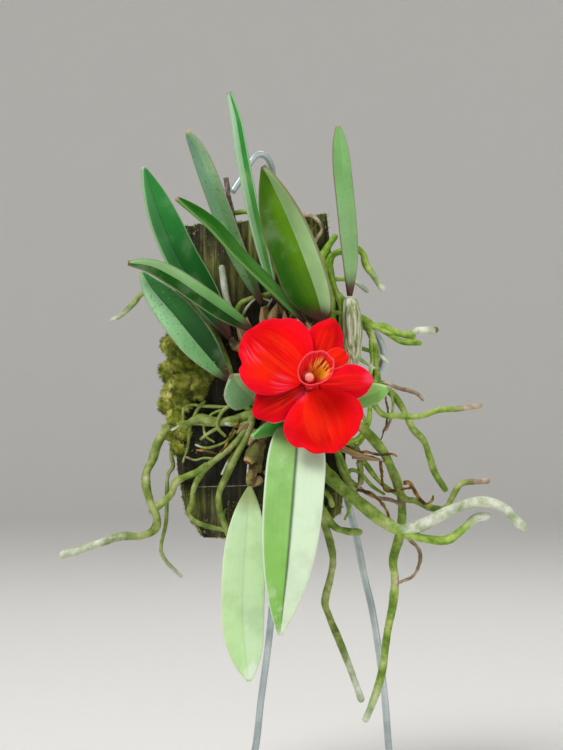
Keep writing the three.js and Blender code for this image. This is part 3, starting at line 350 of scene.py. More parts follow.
def slab_point(across, deep, up):
    """A point of the slab: across and deep run from -1 to 1, up from 0 to 1."""
    level = min(up * (len(slab_rows) - 1), len(slab_rows) - 1.001)
    below, above = slab_rows[int(level)], slab_rows[int(level) + 1]
    share = level - int(level)
    left = below[0].x + (above[0].x - below[0].x) * share
    right = below[1] + (above[1] - below[1]) * share
    height = below[0].z + (above[0].z - below[0].z) * share
    height += max(0, up - 0.9) / 0.1 * (2.6 * across + 1.3 * noise.noise(Vector((across * 7, deep, 4)))) * MM
    corner = max(0, math.hypot(max(0, abs(across) - 0.94) / 0.06, max(0, abs(deep) - 0.8) / 0.2) - 1)
    pull = 1 - 0.035 * corner
    x = (left + right) / 2 + (right - left) / 2 * across * pull
    depth = SLAB_MIDDLE_DEPTH + deep * SLAB_THICKNESS / 2 * (1 - 0.08 * corner)
    grain = Vector((across * 16, deep * 3, up * 2.2))
    furrow = noise.noise(grain) + 0.6 * noise.noise(grain * 2.3) + 0.35 * abs(noise.noise(grain * 5.1))
    if deep < -0.99:
        depth -= 0.8 * furrow + 0.5 * noise.noise(Vector((across * 2, up * 3, 9)))
    elif deep > 0.99:
        depth -= 0.25 * furrow
    if abs(across) > 0.99:
        x += 0.35 * MM * noise.noise(Vector((deep * 9, up * 3, across)))
    return Vector((x, depth * MM, height))


bm = bmesh.new()
bmesh.ops.create_cube(bm, size=2)
bmesh.ops.subdivide_edges(bm, edges=bm.edges, cuts=SLAB_CUTS, use_grid_fill=True)
for spot in bm.verts:
    spot.co = slab_point(spot.co.x, spot.co.y, (spot.co.z + 1) / 2)
slab_mesh = mesh_of(bm, "wood_block")

wood_material, tree, shader, place = finish_of("weathered_wood", Roughness=0.9)
fibre = stretched_noise(tree, place, (260, 260, 16), 1.6, 9, 0.65)
grain = ramp(tree, fibre, ((0.34, "0c0b06"), (0.46, "2c281a"), (0.55, "565034"), (0.66, "8e8860")))
film = slope(tree, noise_of(tree, place, 42, 5, 0.6), 0.4, 0.6)
height = node(tree, "ShaderNodeSeparateXYZ", {"Vector": place}).outputs["Z"]
ends = math_of(tree, "ADD", slope(tree, height, *FOOT_FILM), slope(tree, height, *TOP_FILM))
green = math_of(tree, "MULTIPLY", ends, film, clamp=True)
moss_tone = ramp(tree, fibre, ((0.34, "23280a"), (0.48, "525818"), (0.58, "858a38"), (0.7, "b4b468")))
# Between the green films the grain darkens to near black: partly damp wood, partly painted shade.
damp_and_shaded_grain = blend(tree, slope(tree, ends, 0, 1, 0.8, 0), grain, "100f0b")
tree.links.new(blend(tree, green, damp_and_shaded_grain, moss_tone), shader.inputs["Base Color"])
bumped(tree, shader, fibre, 0.9, 0.0012)

slab = piece("weathered_slab", slab_mesh, wood_material)
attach(slab, "root")
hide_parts("wood_block")

# The creeping stem: brown, papery-skinned rods across the slab's face with a short stem under each leaf.
# The old bulb below the flower is olive, and its round cut end shows pale rings.


def grown_copy(name, node_name, voxel, smoothing, roughness, scale):
    """A CAD solid's form with its facets worn away and a grown surface, as one closed skin."""
    mesh = welded(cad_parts[node_name].data.copy())
    holder = bpy.data.objects.new(name, mesh)
    bpy.context.scene.collection.objects.link(holder)
    remesh = holder.modifiers.new("remesh", "REMESH")
    remesh.mode = "VOXEL"
    remesh.voxel_size = voxel
    bpy.context.view_layer.update()
    skin = bpy.data.meshes.new_from_object(holder.evaluated_get(bpy.context.evaluated_depsgraph_get()))
    bpy.data.objects.remove(holder)
    bm = bmesh.new()
    bm.from_mesh(skin)
    for _ in range(smoothing):
        bmesh.ops.smooth_vert(bm, verts=bm.verts, factor=0.5, use_axis_x=True, use_axis_y=True,
                              use_axis_z=True)
    bm.normal_update()
    for spot in bm.verts:
        spot.co += spot.normal * roughness * noise.noise(spot.co * scale)
    bm.to_mesh(skin)
    bm.free()
    return skin


OLD_BULB = {"body": (253, 454, -18.5), "cut": (246.5, 464.5, -20.5)}

stem_material, tree, shader, place = finish_of("papery_stem", Roughness=0.75)
patches = noise_of(tree, place, 230, 7, 0.6)
skin_tone = ramp(tree, patches,
                 ((0.3, "2c1d10"), (0.43, "5b4426"), (0.52, "8c7442"), (0.61, "7a7e3c"), (0.74, "cdb882")))
living = slope(tree, distance_to(tree, place, seen(*OLD_BULB["body"])), 0.003, 0.0065, 0.75, 0)
skin_tone = blend(tree, living, skin_tone, "5c6628")
bulb_cut = distance_to(tree, place, seen(*OLD_BULB["cut"]))
rings = ramp(tree, math_of(tree, "MULTIPLY", bulb_cut, 250),
             ((0.1, "c88a4a"), (0.24, "6a3c14"), (0.4, "4a2c10"), (0.52, "c8a468"), (0.75, "a08a50")))
skin_tone = blend(tree, slope(tree, bulb_cut, 0.003, 0.0036, 1, 0), skin_tone, rings)
tree.links.new(skin_tone, shader.inputs["Base Color"])
bumped(tree, shader, patches, 0.8, 0.001)

stem_mesh = grown_copy("rhizome", "rhizome", 0.55 * MM, 2, 0.35 * MM, 420)
creeping_stem = piece("creeping_stem", stem_mesh, stem_material)
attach(creeping_stem, "root")
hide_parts("rhizome")

# The swollen stem under the right-hand leaf: a spindle with sharp lengthways ribs, wrapped in a dry,
# silvery, papery skin that shows green between its veins.

ribbed_mesh = welded(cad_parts["ridged_stem"].data.copy())

ribbed_material, tree, shader, place = finish_of("silvery_ribbed_stem", Roughness=0.6)
veins = stretched_noise(tree, place, (900, 900, 60), 1, 5)
tone = ramp(tree, veins, ((0.34, "66703c"), (0.46, "9aa672"), (0.55, "c8ceaa"), (0.66, "efeddc")))
tree.links.new(tone, shader.inputs["Base Color"])
bumped(tree, shader, veins, 0.6, 0.0006)

ribbed = piece("ribbed_stem", ribbed_mesh, ribbed_material)
round_off = ribbed.modifiers.new("round_off", "SUBSURF")
round_off.levels = round_off.render_levels = 2
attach(ribbed, "root")
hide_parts("ridged_stem")

# The aerial roots: round, spongy-skinned strings that creep over the slab, then hang or reach out. Each
# row gives a root's radius at its start and at its tip, the share of its length after which its skin is
# silver, the share after which it is dry and brown, how lime-green it is, and its route.

ROOTS = {
    "roots_left": [
        (2, 1.6, 0.85, 1, 0, [(256, 413, -12.6), (245, 416, -12.6), (233, 420, -12.6), (215, 422, -12.6),
            (199, 418, -11.6), (188, 424, -11.6), (178, 426, -8), (168, 428, -5), (158, 443, -4),
            (152, 461, -4), (147, 471, -5), (146, 484, -6), (150, 501, -8), (157, 520, -10),
            (154, 530, -11.6), (140, 536, -12.6), (123, 536, -14), (106, 541, -16), (85, 548, -18),
            (63, 555, -20)]),
        (0.9, 0.8, 0.85, 1, 0, [(178, 426, -8), (173, 442, -3), (171, 454, -1), (173, 466, 0), (168, 475, 0),
            (167, 488, -1), (166, 522, -1), (161, 550, 0), (166, 561, -1), (181, 576, -2)]),
        (1.6, 1.4, 1, 1, 0.2, [(208, 465, -13.6), (199, 471, -13.6), (185, 477, -11.6), (176, 482, -9),
            (171, 494, -8), (162, 503, -8), (152, 511, -8)]),
        (1.5, 0.9, 1, 1, 0, [(253, 420, -12.6), (238, 440, -14), (224, 453, -14), (204, 470, -13.6),
            (194, 488, -13.6), (192, 503, -13.6), (189, 514, -12.6), (197, 522, -13.6), (211, 527, -14),
            (225, 530, -15)]),
        (1.5, 1.3, 1, 1, 0, [(252, 416, -13.6), (249, 432, -16), (239, 451, -17), (227, 475, -17),
            (219, 494, -16), (220, 510, -16), (228, 534, -16)]),
        (0.8, 0.7, 1, 1, 0.1, [(254, 410, -12.6), (240, 406, -11.6), (225, 407, -11.6), (205, 406, -11.6),
            (185, 406, -11.6), (183, 424, -10)]),
        (0.9, 0.7, 1, 1, 0, [(238, 402, -12.6), (226, 408, -14), (218, 419, -15), (218, 428, -14),
            (225, 436, -13.6)]),
        (0.8, 0.6, 1, 1, 0, [(218, 428, -14), (209, 433, -12.6), (201, 439, -11.6)]),
        (1.3, 1.1, 0.82, 1, 0.1, [(252, 412, -12.6), (240, 400, -12), (224, 352, -12), (206, 318, -12),
            (186, 301, -12.4), (173, 296, -12.6), (160, 293, -12), (142, 294, -10), (133, 304, -10),
            (120, 316, -10), (112, 320, -10)]),
    ],
    "roots_top": [
        (1.4, 1.4, 0.35, 1, 0, [(250, 337, -12.6), (235, 318, -12.6), (227, 300, -12.6), (224, 284, -13.6),
            (222, 268, -13.6)]),
        (1.1, 1.1, 0.4, 1, 0, [(233, 316, -12.6), (219, 300, -12.6), (210, 288, -12.6), (207, 275, -12.6)]),
        (1.1, 1, 1, 1, 0.6, [(235, 318, -12.6), (240, 304, -12.6), (254, 297, -12.6), (270, 293, -11.6),
            (273, 270, -11.6), (270, 240, -11.6), (262, 219, -9), (249, 212, -6), (234, 213, -5)]),
        (0.9, 0.7, 1, 0.3, 0, [(271, 245, -11.6), (288, 224, -11.6), (300, 216, -11.6), (314, 217, -11.6),
            (322, 229, -11.6), (315, 241, -11.6)]),
    ],
    "roots_right": [
        (1.8, 1.4, 1, 1, 1, [(345, 366, -11.6), (342, 348, -12.6), (334, 328, -12.6), (331, 300, -12.6),
            (326, 275, -12.6), (322, 258, -12.6), (327, 248, -12.6), (335, 237, -12.6)]),
        (1.5, 1.5, 0.88, 1, 1, [(342, 348, -11.6), (344, 314, -11.6), (337, 295, -11.6), (330, 275, -11.6),
            (332, 256, -11.6), (343, 251, -10), (357, 249, -9), (363, 254, -8), (366, 265, -6),
            (373, 275, -5), (382, 288, -4)]),
        (1, 0.9, 0.5, 1, 0.7, [(328, 280, -12.6), (343, 279, -10), (354, 281, -9), (367, 291, -8)]),
        (1.6, 1.4, 1, 1, 0.8, [(342, 330, -11.6), (352, 317, -10), (363, 318, -9), (373, 326, -9),
            (384, 326, -8), (392, 331, -7), (401, 334, -6), (413, 337, -6)]),
        (1.3, 1.5, 0.5, 0.9, 0.6, [(401, 334, -6), (409, 334, -7), (416, 331, -8), (435, 330, -10)]),
        (1.3, 1.2, 1, 1, 0.7, [(378, 327, -8), (386, 332, -8), (400, 341, -9), (419, 343, -9)]),
        (1.5, 1.4, 1, 1, 0.35, [(363, 318, -9), (369, 330, -10), (375, 346, -10), (376, 369, -9),
            (380, 386, -8), (390, 392, -8), (398, 401, -7), (406, 415, -6), (413, 429, -6), (424, 441, -6),
            (429, 455, -6), (435, 473, -7), (445, 489, -8)]),
        (0.9, 0.8, 1, 0.15, 0, [(378, 383, -8), (387, 383, -8), (398, 388, -9), (416, 393, -10),
            (423, 399, -10)]),
        (1.3, 1.2, 1, 0.82, 0.5, [(377, 376, -9), (372, 396, -11.6), (382, 414, -13.6), (398, 416, -14),
            (422, 416, -15), (438, 410, -15), (456, 409, -15), (480, 406, -15)]),
    ],
    "roots_lower": [
        (2.2, 1.6, 0.93, 1, 0.45, [(324, 402, -12.6), (340, 412, -12.6), (361, 427, -12.6), (373, 439, -13.6),
            (384, 453, -13.6), (392, 470, -12.6), (398, 485, -11.6), (402, 504, -10), (400, 534, -8),
            (393, 561, -8), (395, 579, -8), (393, 603, -8), (387, 635, -8), (382, 672, -9), (374, 699, -10),
            (366, 719, -11.6)]),
        (3, 2.1, 0.52, 1, 0.35, [(320, 404, -12.6), (314, 430, -12.6), (316, 456, -13.6), (324, 471, -16),
            (338, 485, -18), (361, 504, -20), (383, 521, -21), (401, 530, -22), (422, 525, -23),
            (445, 513, -24), (468, 504, -25), (484, 502, -26), (504, 508, -27), (522, 527, -28)]),
        (1.9, 1.8, 0.72, 1, 0.7, [(396, 529, -22), (407, 534, -22), (427, 539, -22), (447, 540, -22),
            (462, 530, -22), (476, 518, -22), (487, 516, -22)]),
        (1.5, 1.3, 1, 0.85, 0.1, [(394, 474, -12.6), (404, 498, -12.6), (416, 501, -12.6), (432, 508, -13.6),
            (445, 508, -14), (453, 496, -14), (461, 484, -14), (487, 481, -14)]),
        (1.7, 1.5, 0.85, 1, 0, [(316, 456, -13.6), (318, 480, -13.6), (320, 508, -13.6), (330, 542, -13.6),
            (333, 561, -12.6), (330, 579, -12.6), (325, 603, -12.6), (329, 616, -12.6), (339, 640, -12.6),
            (350, 668, -12.6), (361, 699, -12.6)]),
        (1.7, 1.5, 1, 1, 0.3, [(320, 506, -13.6), (335, 527, -13.6), (346, 531, -13.6), (359, 532, -13.6)]),
        (1.6, 1.4, 1, 1, 0.1, [(340, 412, -12.6), (336, 436, -12.6), (340, 464, -12.6), (348, 482, -12.6),
            (358, 498, -12.6), (366, 508, -11.6)]),
        (1.4, 1.2, 1, 0.3, 0, [(338, 440, -12.6), (356, 448, -11.6), (360, 465, -11.6), (361, 482, -11.6)]),
        (0.8, 0.7, 1, 0.1, 0, [(400, 530, -8), (409, 539, -9), (419, 550, -9), (420, 561, -8), (413, 576, -8),
            (400, 582, -9)]),
        (0.9, 0.8, 1, 0.2, 0, [(345, 476, -12.6), (361, 489, -11.6), (372, 496, -11.6), (391, 500, -11.6),
            (400, 504, -11.6)]),
    ],
}
ROOT_SIDES = 10
ROOT_TIP = ((0.45, 0.88), (0.75, 0.65), (0.92, 0.38))


def root_line(spec):
    """A root's points and radii: knobbly along its route, and rounded at its tip."""
    radius, tip, *_, pixels = spec
    points = bend_through([seen(*p) for p in pixels], 6)
    last = len(points) - 1
    radii = []
    for i, point in enumerate(points):
        share = i / last
        knobs = 1 + 0.08 * math.sin(share * len(pixels) * 2.3) + 0.1 * noise.noise(point * 260)
        radii.append((radius + (tip - radius) * share) * knobs * MM)
    step = (points[-1] - points[-2]).normalized()
    end = points[-1].copy()
    for lead, narrow in ROOT_TIP:
        points.append(end + step * lead * tip * MM)
        radii.append(tip * narrow * MM)
    return points, radii


def painted_rods(name, specs, relief, smoothness):
    """Rods for the given roots, with a wrinkled skin, and a paint value at each point of it."""
    lines = [root_line(spec) for spec in specs]
    mesh = rods(name, lines, ROOT_SIDES)
    samples = [(point, i / (len(points) - 1), spec)
               for spec, (points, _) in zip(specs, lines) for i, point in enumerate(points)]
    nearest = kdtree.KDTree(len(samples))
    for i, (point, _, _) in enumerate(samples):
        nearest.insert(point, i)
    nearest.balance()
    bm = bmesh.new()
    bm.from_mesh(mesh)
    bm.normal_update()
    paint = bm.verts.layers.float_color.new("paint")
    for spot in bm.verts:
        _, share, (_, _, pale_from, dry_from, lime, _) = samples[nearest.find(spot.co)[1]]
        ragged = 0.06 * noise.noise(spot.co * 500)
        pale = min(1, max(0, (share + ragged - pale_from) / 0.12 + 0.5)) if pale_from < 1 else 0
        dry = min(1, max(0, (share + ragged - dry_from) / 0.05 + 0.5)) if dry_from < 1 else 0
        spot[paint] = (pale, dry, lime, 1)
        wrinkle = noise.noise(spot.co * smoothness) + 0.5 * noise.noise(spot.co * smoothness * 3.1)
        spot.co += spot.normal * relief * wrinkle * (1 + 1.5 * dry)
    bm.to_mesh(mesh)
    bm.free()
    return mesh


root_material, tree, shader, place = finish_of("root_skin", Roughness=0.62)
paint = node(tree, "ShaderNodeAttribute", attribute_name="paint")
pale, dry, lime = node(tree, "ShaderNodeSeparateColor", {"Color": paint.outputs["Color"]}).outputs
blotch = noise_of(tree, place, 150, 6, 0.65)
skin = blend(tree, lime,
             ramp(tree, blotch, ((0.28, "3c4c12"), (0.41, "60761e"), (0.52, "869846"), (0.62, "a8ae72"),
                                 (0.76, "cccca8"))),
             ramp(tree, blotch, ((0.3, "4c720a"), (0.46, "7aa61e"), (0.58, "a8c84c"), (0.72, "d0e094"))))
skin = blend(tree, pale, skin,
             ramp(tree, blotch, ((0.3, "8e9c76"), (0.46, "b8c2a4"), (0.58, "dadfcc"), (0.72, "f2f2ea"))))
skin = blend(tree, dry, skin,
             ramp(tree, blotch, ((0.3, "4a3826"), (0.46, "8a745a"), (0.58, "b8a48c"), (0.72, "dccfc0"))))
pits = node(tree, "ShaderNodeTexVoronoi", {"Vector": place, "Scale": 210}).outputs["Distance"]
skin = blend(tree, slope(tree, pits, 0.03, 0.1, 0.55, 0), skin, "2a2a12")
tree.links.new(skin, shader.inputs["Base Color"])
bumped(tree, shader, noise_of(tree, place, 1100), 0.35, 0.0004)

for name, specs in ROOTS.items():
    bunch = piece("aerial_" + name, painted_rods(name, specs, 0.1 * MM, 520), root_material)
    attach(bunch, "root")
    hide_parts(name)

# Fine roots: the thin strands that weave between the thick ones, over the slab's dark foot and in the
# tangle at its right edge. They lie loosely on the bark and on each other.

FINE_ROOTS = [
    (1.4, 0.9, 0.4, 1, 0.1, [(252, 421, -12.6), (241, 425, -13), (231, 424, -13.4), (220, 421, -13),
                             (209, 419, -12.4), (200, 416, -12)]),
    (0.7, 0.5, 0.5, 1, 0,
     [(228, 423, -12), (212, 425, -12), (196, 424, -11.8), (184, 424, -11.4), (172, 430, -9)]),
    (0.6, 0.4, 1, 0.7, 0, [(214, 459, -11.8), (204, 458, -11.6), (195, 460, -11.6), (186, 457, -11.4)]),
    (0.7, 0.5, 0.6, 1, 0, [(246, 428, -14), (238, 447, -13), (229, 460, -12.4), (222, 474, -12)]),
    (0.6, 0.4, 0.4, 1, 0, [(262, 430, -15), (256, 445, -17), (249, 462, -16), (247, 480, -15)]),
    (0.8, 0.5, 1, 1, 0,
     [(205, 400, -12), (196, 412, -12), (190, 428, -11.6), (188, 446, -11.4), (183, 462, -10)]),
    (0.6, 0.45, 1, 1, 0.2,
     [(222, 410, -13), (212, 414, -12.6), (204, 424, -12), (206, 436, -11.8), (214, 442, -12)]),
    (0.7, 0.5, 0.8, 1, 0,
     [(236, 430, -14.5), (228, 440, -14), (216, 446, -13), (205, 448, -12.4), (196, 445, -11.8)]),
    (0.7, 0.4, 0.2, 1, 0, [(240, 322, -13), (248, 306, -13), (258, 298, -13), (270, 301, -13)]),
    (0.6, 0.4, 0.3, 0.8, 0, [(262, 318, -14), (268, 306, -14), (276, 296, -14), (288, 300, -14)]),
    (0.6, 0.4, 1, 1, 0.4, [(290, 318, -13), (296, 304, -13), (303, 292, -13), (306, 280, -12.6)]),
    (1, 0.8, 1, 1, 1,
     [(340, 252, -12), (332, 254, -12.6), (327, 262, -12.6), (327, 274, -12.6), (331, 284, -12.6)]),
    (1, 0.9, 1, 1, 0.9,
     [(328, 262, -12), (333, 282, -13.4), (340, 300, -13.4), (341, 318, -13), (338, 334, -13)]),
    (0.9, 0.8, 1, 1, 0.9, [(331, 312, -13), (340, 313, -13.4), (352, 312, -12), (360, 318, -11)]),
    (1.1, 0.9, 1, 1, 0.8,
     [(332, 288, -12), (345, 301, -12), (352, 312, -11), (366, 322, -10), (379, 329, -9.5),
                           (392, 334, -9)]),
    (0.9, 0.7, 0.6, 1, 0.6, [(361, 348, -11), (370, 351, -10.5), (379, 355, -10), (387, 362, -10)]),
    (0.8, 0.6, 0.6, 0.9, 0.5, [(356, 356, -12), (364, 362, -12), (374, 368, -11.5)]),
    (1, 0.8, 1, 1, 0.9,
     [(324, 250, -12.6), (322, 270, -12.6), (326, 290, -13), (330, 310, -13), (336, 326, -13)]),
    (1.2, 1, 1, 1, 1,
     [(344, 443, -13), (356, 440, -13), (364, 432, -13), (369, 420, -13), (370, 404, -12.6)]),
    (1.2, 1, 1, 1, 0.5, [(337, 450, -13), (344, 465, -13), (351, 484, -13), (356, 499, -13)]),
    (1.1, 0.9, 1, 1, 0.6,
     [(363, 460, -12), (373, 474, -12), (380, 482, -12), (389, 489, -12), (397, 494, -12)]),
    (1.3, 1.1, 1, 1, 0.4, [(320, 488, -13), (329, 496, -14), (332, 505, -14)]),
    (0.9, 0.7, 1, 0.7, 0.3, [(358, 462, -12.6), (361, 474, -12.6), (358, 487, -12.6)]),
    (0.9, 0.7, 1, 1, 0.4,
     [(344, 476, -12), (352, 470, -12), (361, 474, -13), (372, 486, -13), (384, 494, -12.6)]),
    (0.8, 0.6, 1, 1, 0.8, [(330, 470, -12.6), (338, 478, -12.6), (346, 492, -12.6), (350, 507, -12.6),
                           (345, 519, -12.6)]),
    (0.9, 0.7, 1, 1, 0.7, [(352, 404, -12.6), (362, 414, -12.6), (366, 428, -12.6), (362, 440, -12.6),
                           (354, 450, -12.6)]),
    (0.7, 0.5, 1, 0.5, 0.3, [(390, 388, -9), (393, 402, -10), (391, 418, -11), (386, 430, -12)]),
    (0.9, 0.8, 1, 1, 0.9,
     [(372, 330, -10), (371, 346, -11), (372, 362, -11), (369, 378, -11.6), (362, 392, -12)]),
]
fine_roots = piece("fine_roots", painted_rods("fine_roots", FINE_ROOTS, 0.08 * MM, 600), root_material)
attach(fine_roots, "root")

# Withered roots and scraps: thin, dead, brown strings and torn strips of old sheath, caught among the
# living roots on the slab's right side.

WITHERED = [
    (0.55, 0.3, 1, 0, 0,
     [(343, 442, -12), (352, 450, -14), (364, 455, -15), (378, 459, -15), (384, 462, -15)]),
    (0.6, 0.35, 1, 0, 0,
     [(350, 455, -13), (366, 452, -15), (380, 455, -16), (393, 454, -16), (397, 456, -16)]),
    (0.7, 0.5, 1, 0, 0, [(380, 460, -14), (382, 474, -15), (383, 486, -15.5), (388, 491, -15.5),
                         (402, 489, -16), (410, 488, -16)]),
    (0.9, 0.5, 1, 0, 0, [(404, 483, -15.5), (409, 482, -16.5), (414, 490, -17), (419, 498, -17),
                         (426, 504, -17), (431, 501, -17), (433, 497, -17)]),
    (0.7, 0.5, 1, 0.02, 0, [(357, 490, -13), (370, 493, -14), (378, 499, -14.5), (385, 508, -14.5),
                            (390, 519, -14.5)]),
    (0.5, 0.35, 1, 0, 0,
     [(386, 384, -9), (386, 400, -10), (388, 412, -11), (386, 424, -12), (381, 440, -13.5)]),
    (0.4, 0.3, 1, 0, 0, [(252, 405, -13), (244, 398, -15), (236, 396, -15), (229, 402, -14)]),
    (0.5, 0.3, 1, 0, 0, [(196, 450, -12), (210, 452, -12.5), (222, 455, -12.5), (231, 452, -12.5)]),
    (0.5, 0.4, 1, 0, 0, [(240, 418, -14.5), (232, 432, -15), (226, 445, -15), (221, 452, -14.5)]),
]
withered_material, tree, shader, place = finish_of("withered_skin", Roughness=0.8)
streak = noise_of(tree, place, 330, 5)
dead_tone = ramp(tree, streak, ((0.3, "24190a"), (0.46, "5f4210"), (0.58, "8f6a1c"), (0.72, "b89a4c")))
tree.links.new(dead_tone, shader.inputs["Base Color"])
bumped(tree, shader, streak, 0.6, 0.0006)
withered = piece("withered_roots", painted_rods("withered", WITHERED, 0.18 * MM, 700), withered_material)
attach(withered, "root")

# The moss: a cushion on the slab's left edge that spills round to its front, with looser tufts along the
# slab's edges and between the roots. Each tuft is a few narrow leaves in a star.

MOSS_SEED = 71
MOSS_TUFTS = [(5, 1.5, 0.7), (6, 1.2, 1.0), (4, 1.9, 0.5)]


def moss_tuft(leaves, length, spread):
    """One tuft as a small mesh: narrow leaves that lean outwards round its own Z axis."""
    bm = bmesh.new()
    for i in range(leaves):
        turn = 2 * math.pi * i / leaves
        tip = bmesh.ops.create_cone(bm, cap_ends=False, segments=3, radius1=length * 0.11, radius2=0,
                                    depth=length)["verts"]
        bmesh.ops.translate(bm, vec=(0, 0, length / 2), verts=tip)
        bmesh.ops.rotate(bm, cent=(0, 0, 0), matrix=Matrix.Rotation(spread * (0.5 + (i % 3) / 2), 3, "X"),
                         verts=tip)
        bmesh.ops.rotate(bm, cent=(0, 0, 0), matrix=Matrix.Rotation(turn, 3, "Z"), verts=tip)
    return mesh_of(bm, "tuft")


def scattered(bm, tufts, spots, draw, smallest, largest):
    """Adds a tuft at each spot, upright on the surface there, at its own size and turn."""
    for point, upward in spots:
        tuft = draw.choice(tufts)
        size = draw.uniform(smallest, largest)
        lean = (upward + Vector([draw.uniform(-0.5, 0.5) for _ in range(3)])).to_track_quat("Z", "Y")
        turn = Matrix.Rotation(draw.uniform(0, 6.28), 4, "Z")
        place = Matrix.Translation(point) @ lean.to_matrix().to_4x4() @ turn
        place = place @ Matrix.Scale(size, 4)
        tuft.transform(place)
        bm.from_mesh(tuft)
        tuft.transform(place.inverted())


def spots_on(mesh, count, draw, keep=lambda point, normal: True):
    """Seeded spots on a mesh's faces, as (point, normal), where keep allows."""
    faces = [f for f in mesh.polygons if keep(f.center, f.normal)]
    weights = [f.area for f in faces]
    spots = []
    for face in draw.choices(faces, weights, k=count):
        a, b, c = (mesh.vertices[v].co for v in draw.sample(list(face.vertices), 3))
        s, t = sorted((draw.random(), draw.random()))
        spots.append((a * s + b * (t - s) + c * (1 - t), face.normal.copy()))
    return spots


draw = random.Random(MOSS_SEED)
tufts = [moss_tuft(leaves, length * MM, spread) for leaves, length, spread in MOSS_TUFTS]
cushion = grown_copy("moss", "moss", 0.6 * MM, 3, 0.5 * MM, 500)
bm = bmesh.new()
bm.from_mesh(cushion)
outside = spots_on(cushion, 1500, draw, lambda point, normal: normal.y < 0.5)
scattered(bm, tufts, outside, draw, 0.7, 1.25)
moss_mesh = mesh_of(bm, "moss_cushion")

moss_material, tree, shader, place = finish_of("moss_green", Roughness=0.85)
clumps = noise_of(tree, place, 190, 4)
cushion_tone = ramp(tree, clumps, ((0.3, "36420c"), (0.41, "667218"), (0.52, "9aa032"), (0.66, "d0cc74")))
tree.links.new(cushion_tone, shader.inputs["Base Color"])
cushion_piece = piece("moss_cushion", moss_mesh, moss_material)
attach(cushion_piece, "root")
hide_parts("moss")


def loose_moss(point, normal):
    """Where the slab carries loose moss: in patches on its left edge, top and foot."""
    if normal.y > 0.5:
        return False
    near_left = point.x < -0.040 and point.z < 0.215
    near_foot = point.z < 0.126
    near_top = point.z > 0.236
    return (near_left or near_foot or near_top) and noise.noise(point * 110) > -0.05


MOSS_CLUMPS = [(172, 345, -6, 4.5), (180, 358, -9, 5), (170, 372, -4, 4.5), (186, 380, -9.5, 4.5),
               (174, 392, -7, 4.8), (168, 405, -3, 4), (183, 402, -9, 4.2), (177, 418, -7.5, 4.2),
               (171, 432, -3, 3.8), (186, 340, -9, 4), (198, 352, -10, 3.6), (205, 372, -10, 3.6),
               (196, 392, -10, 3.5), (184, 432, -9, 3.2), (178, 448, -8, 3)]

bm = bmesh.new()
for across, down, depth_mm, radius in MOSS_CLUMPS:
    ball = bmesh.ops.create_icosphere(bm, subdivisions=4, radius=radius * MM)["verts"]
    for spot in ball:
        ridge = noise.noise(spot.co * 420 + Vector((across, down, 0))) + 0.5 * noise.noise(spot.co * 1100)
        spot.co *= 1 + 0.3 * ridge
        spot.co.y *= 0.7
    bmesh.ops.translate(bm, vec=seen(across, down, depth_mm), verts=ball)
clump_mesh = bpy.data.meshes.new("moss_clumps")
bm.to_mesh(clump_mesh)
scattered(bm, tufts, spots_on(clump_mesh, 2200, draw, lambda point, normal: normal.y < 0.4), draw, 0.55, 1.1)
scattered(bm, tufts, spots_on(slab_mesh, 1500, draw, loose_moss), draw, 0.4, 0.85)
anywhere = spots_on(slab_mesh, 500, draw,
                    lambda p, n: n.y < -0.3 and noise.noise(p * 90 + Vector((3, 1, 2))) > 0.12)
scattered(bm, tufts, anywhere, draw, 0.3, 0.6)
loose_mesh = mesh_of(bm, "loose_moss")
loose = piece("loose_moss", loose_mesh, moss_material)
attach(loose, "root")
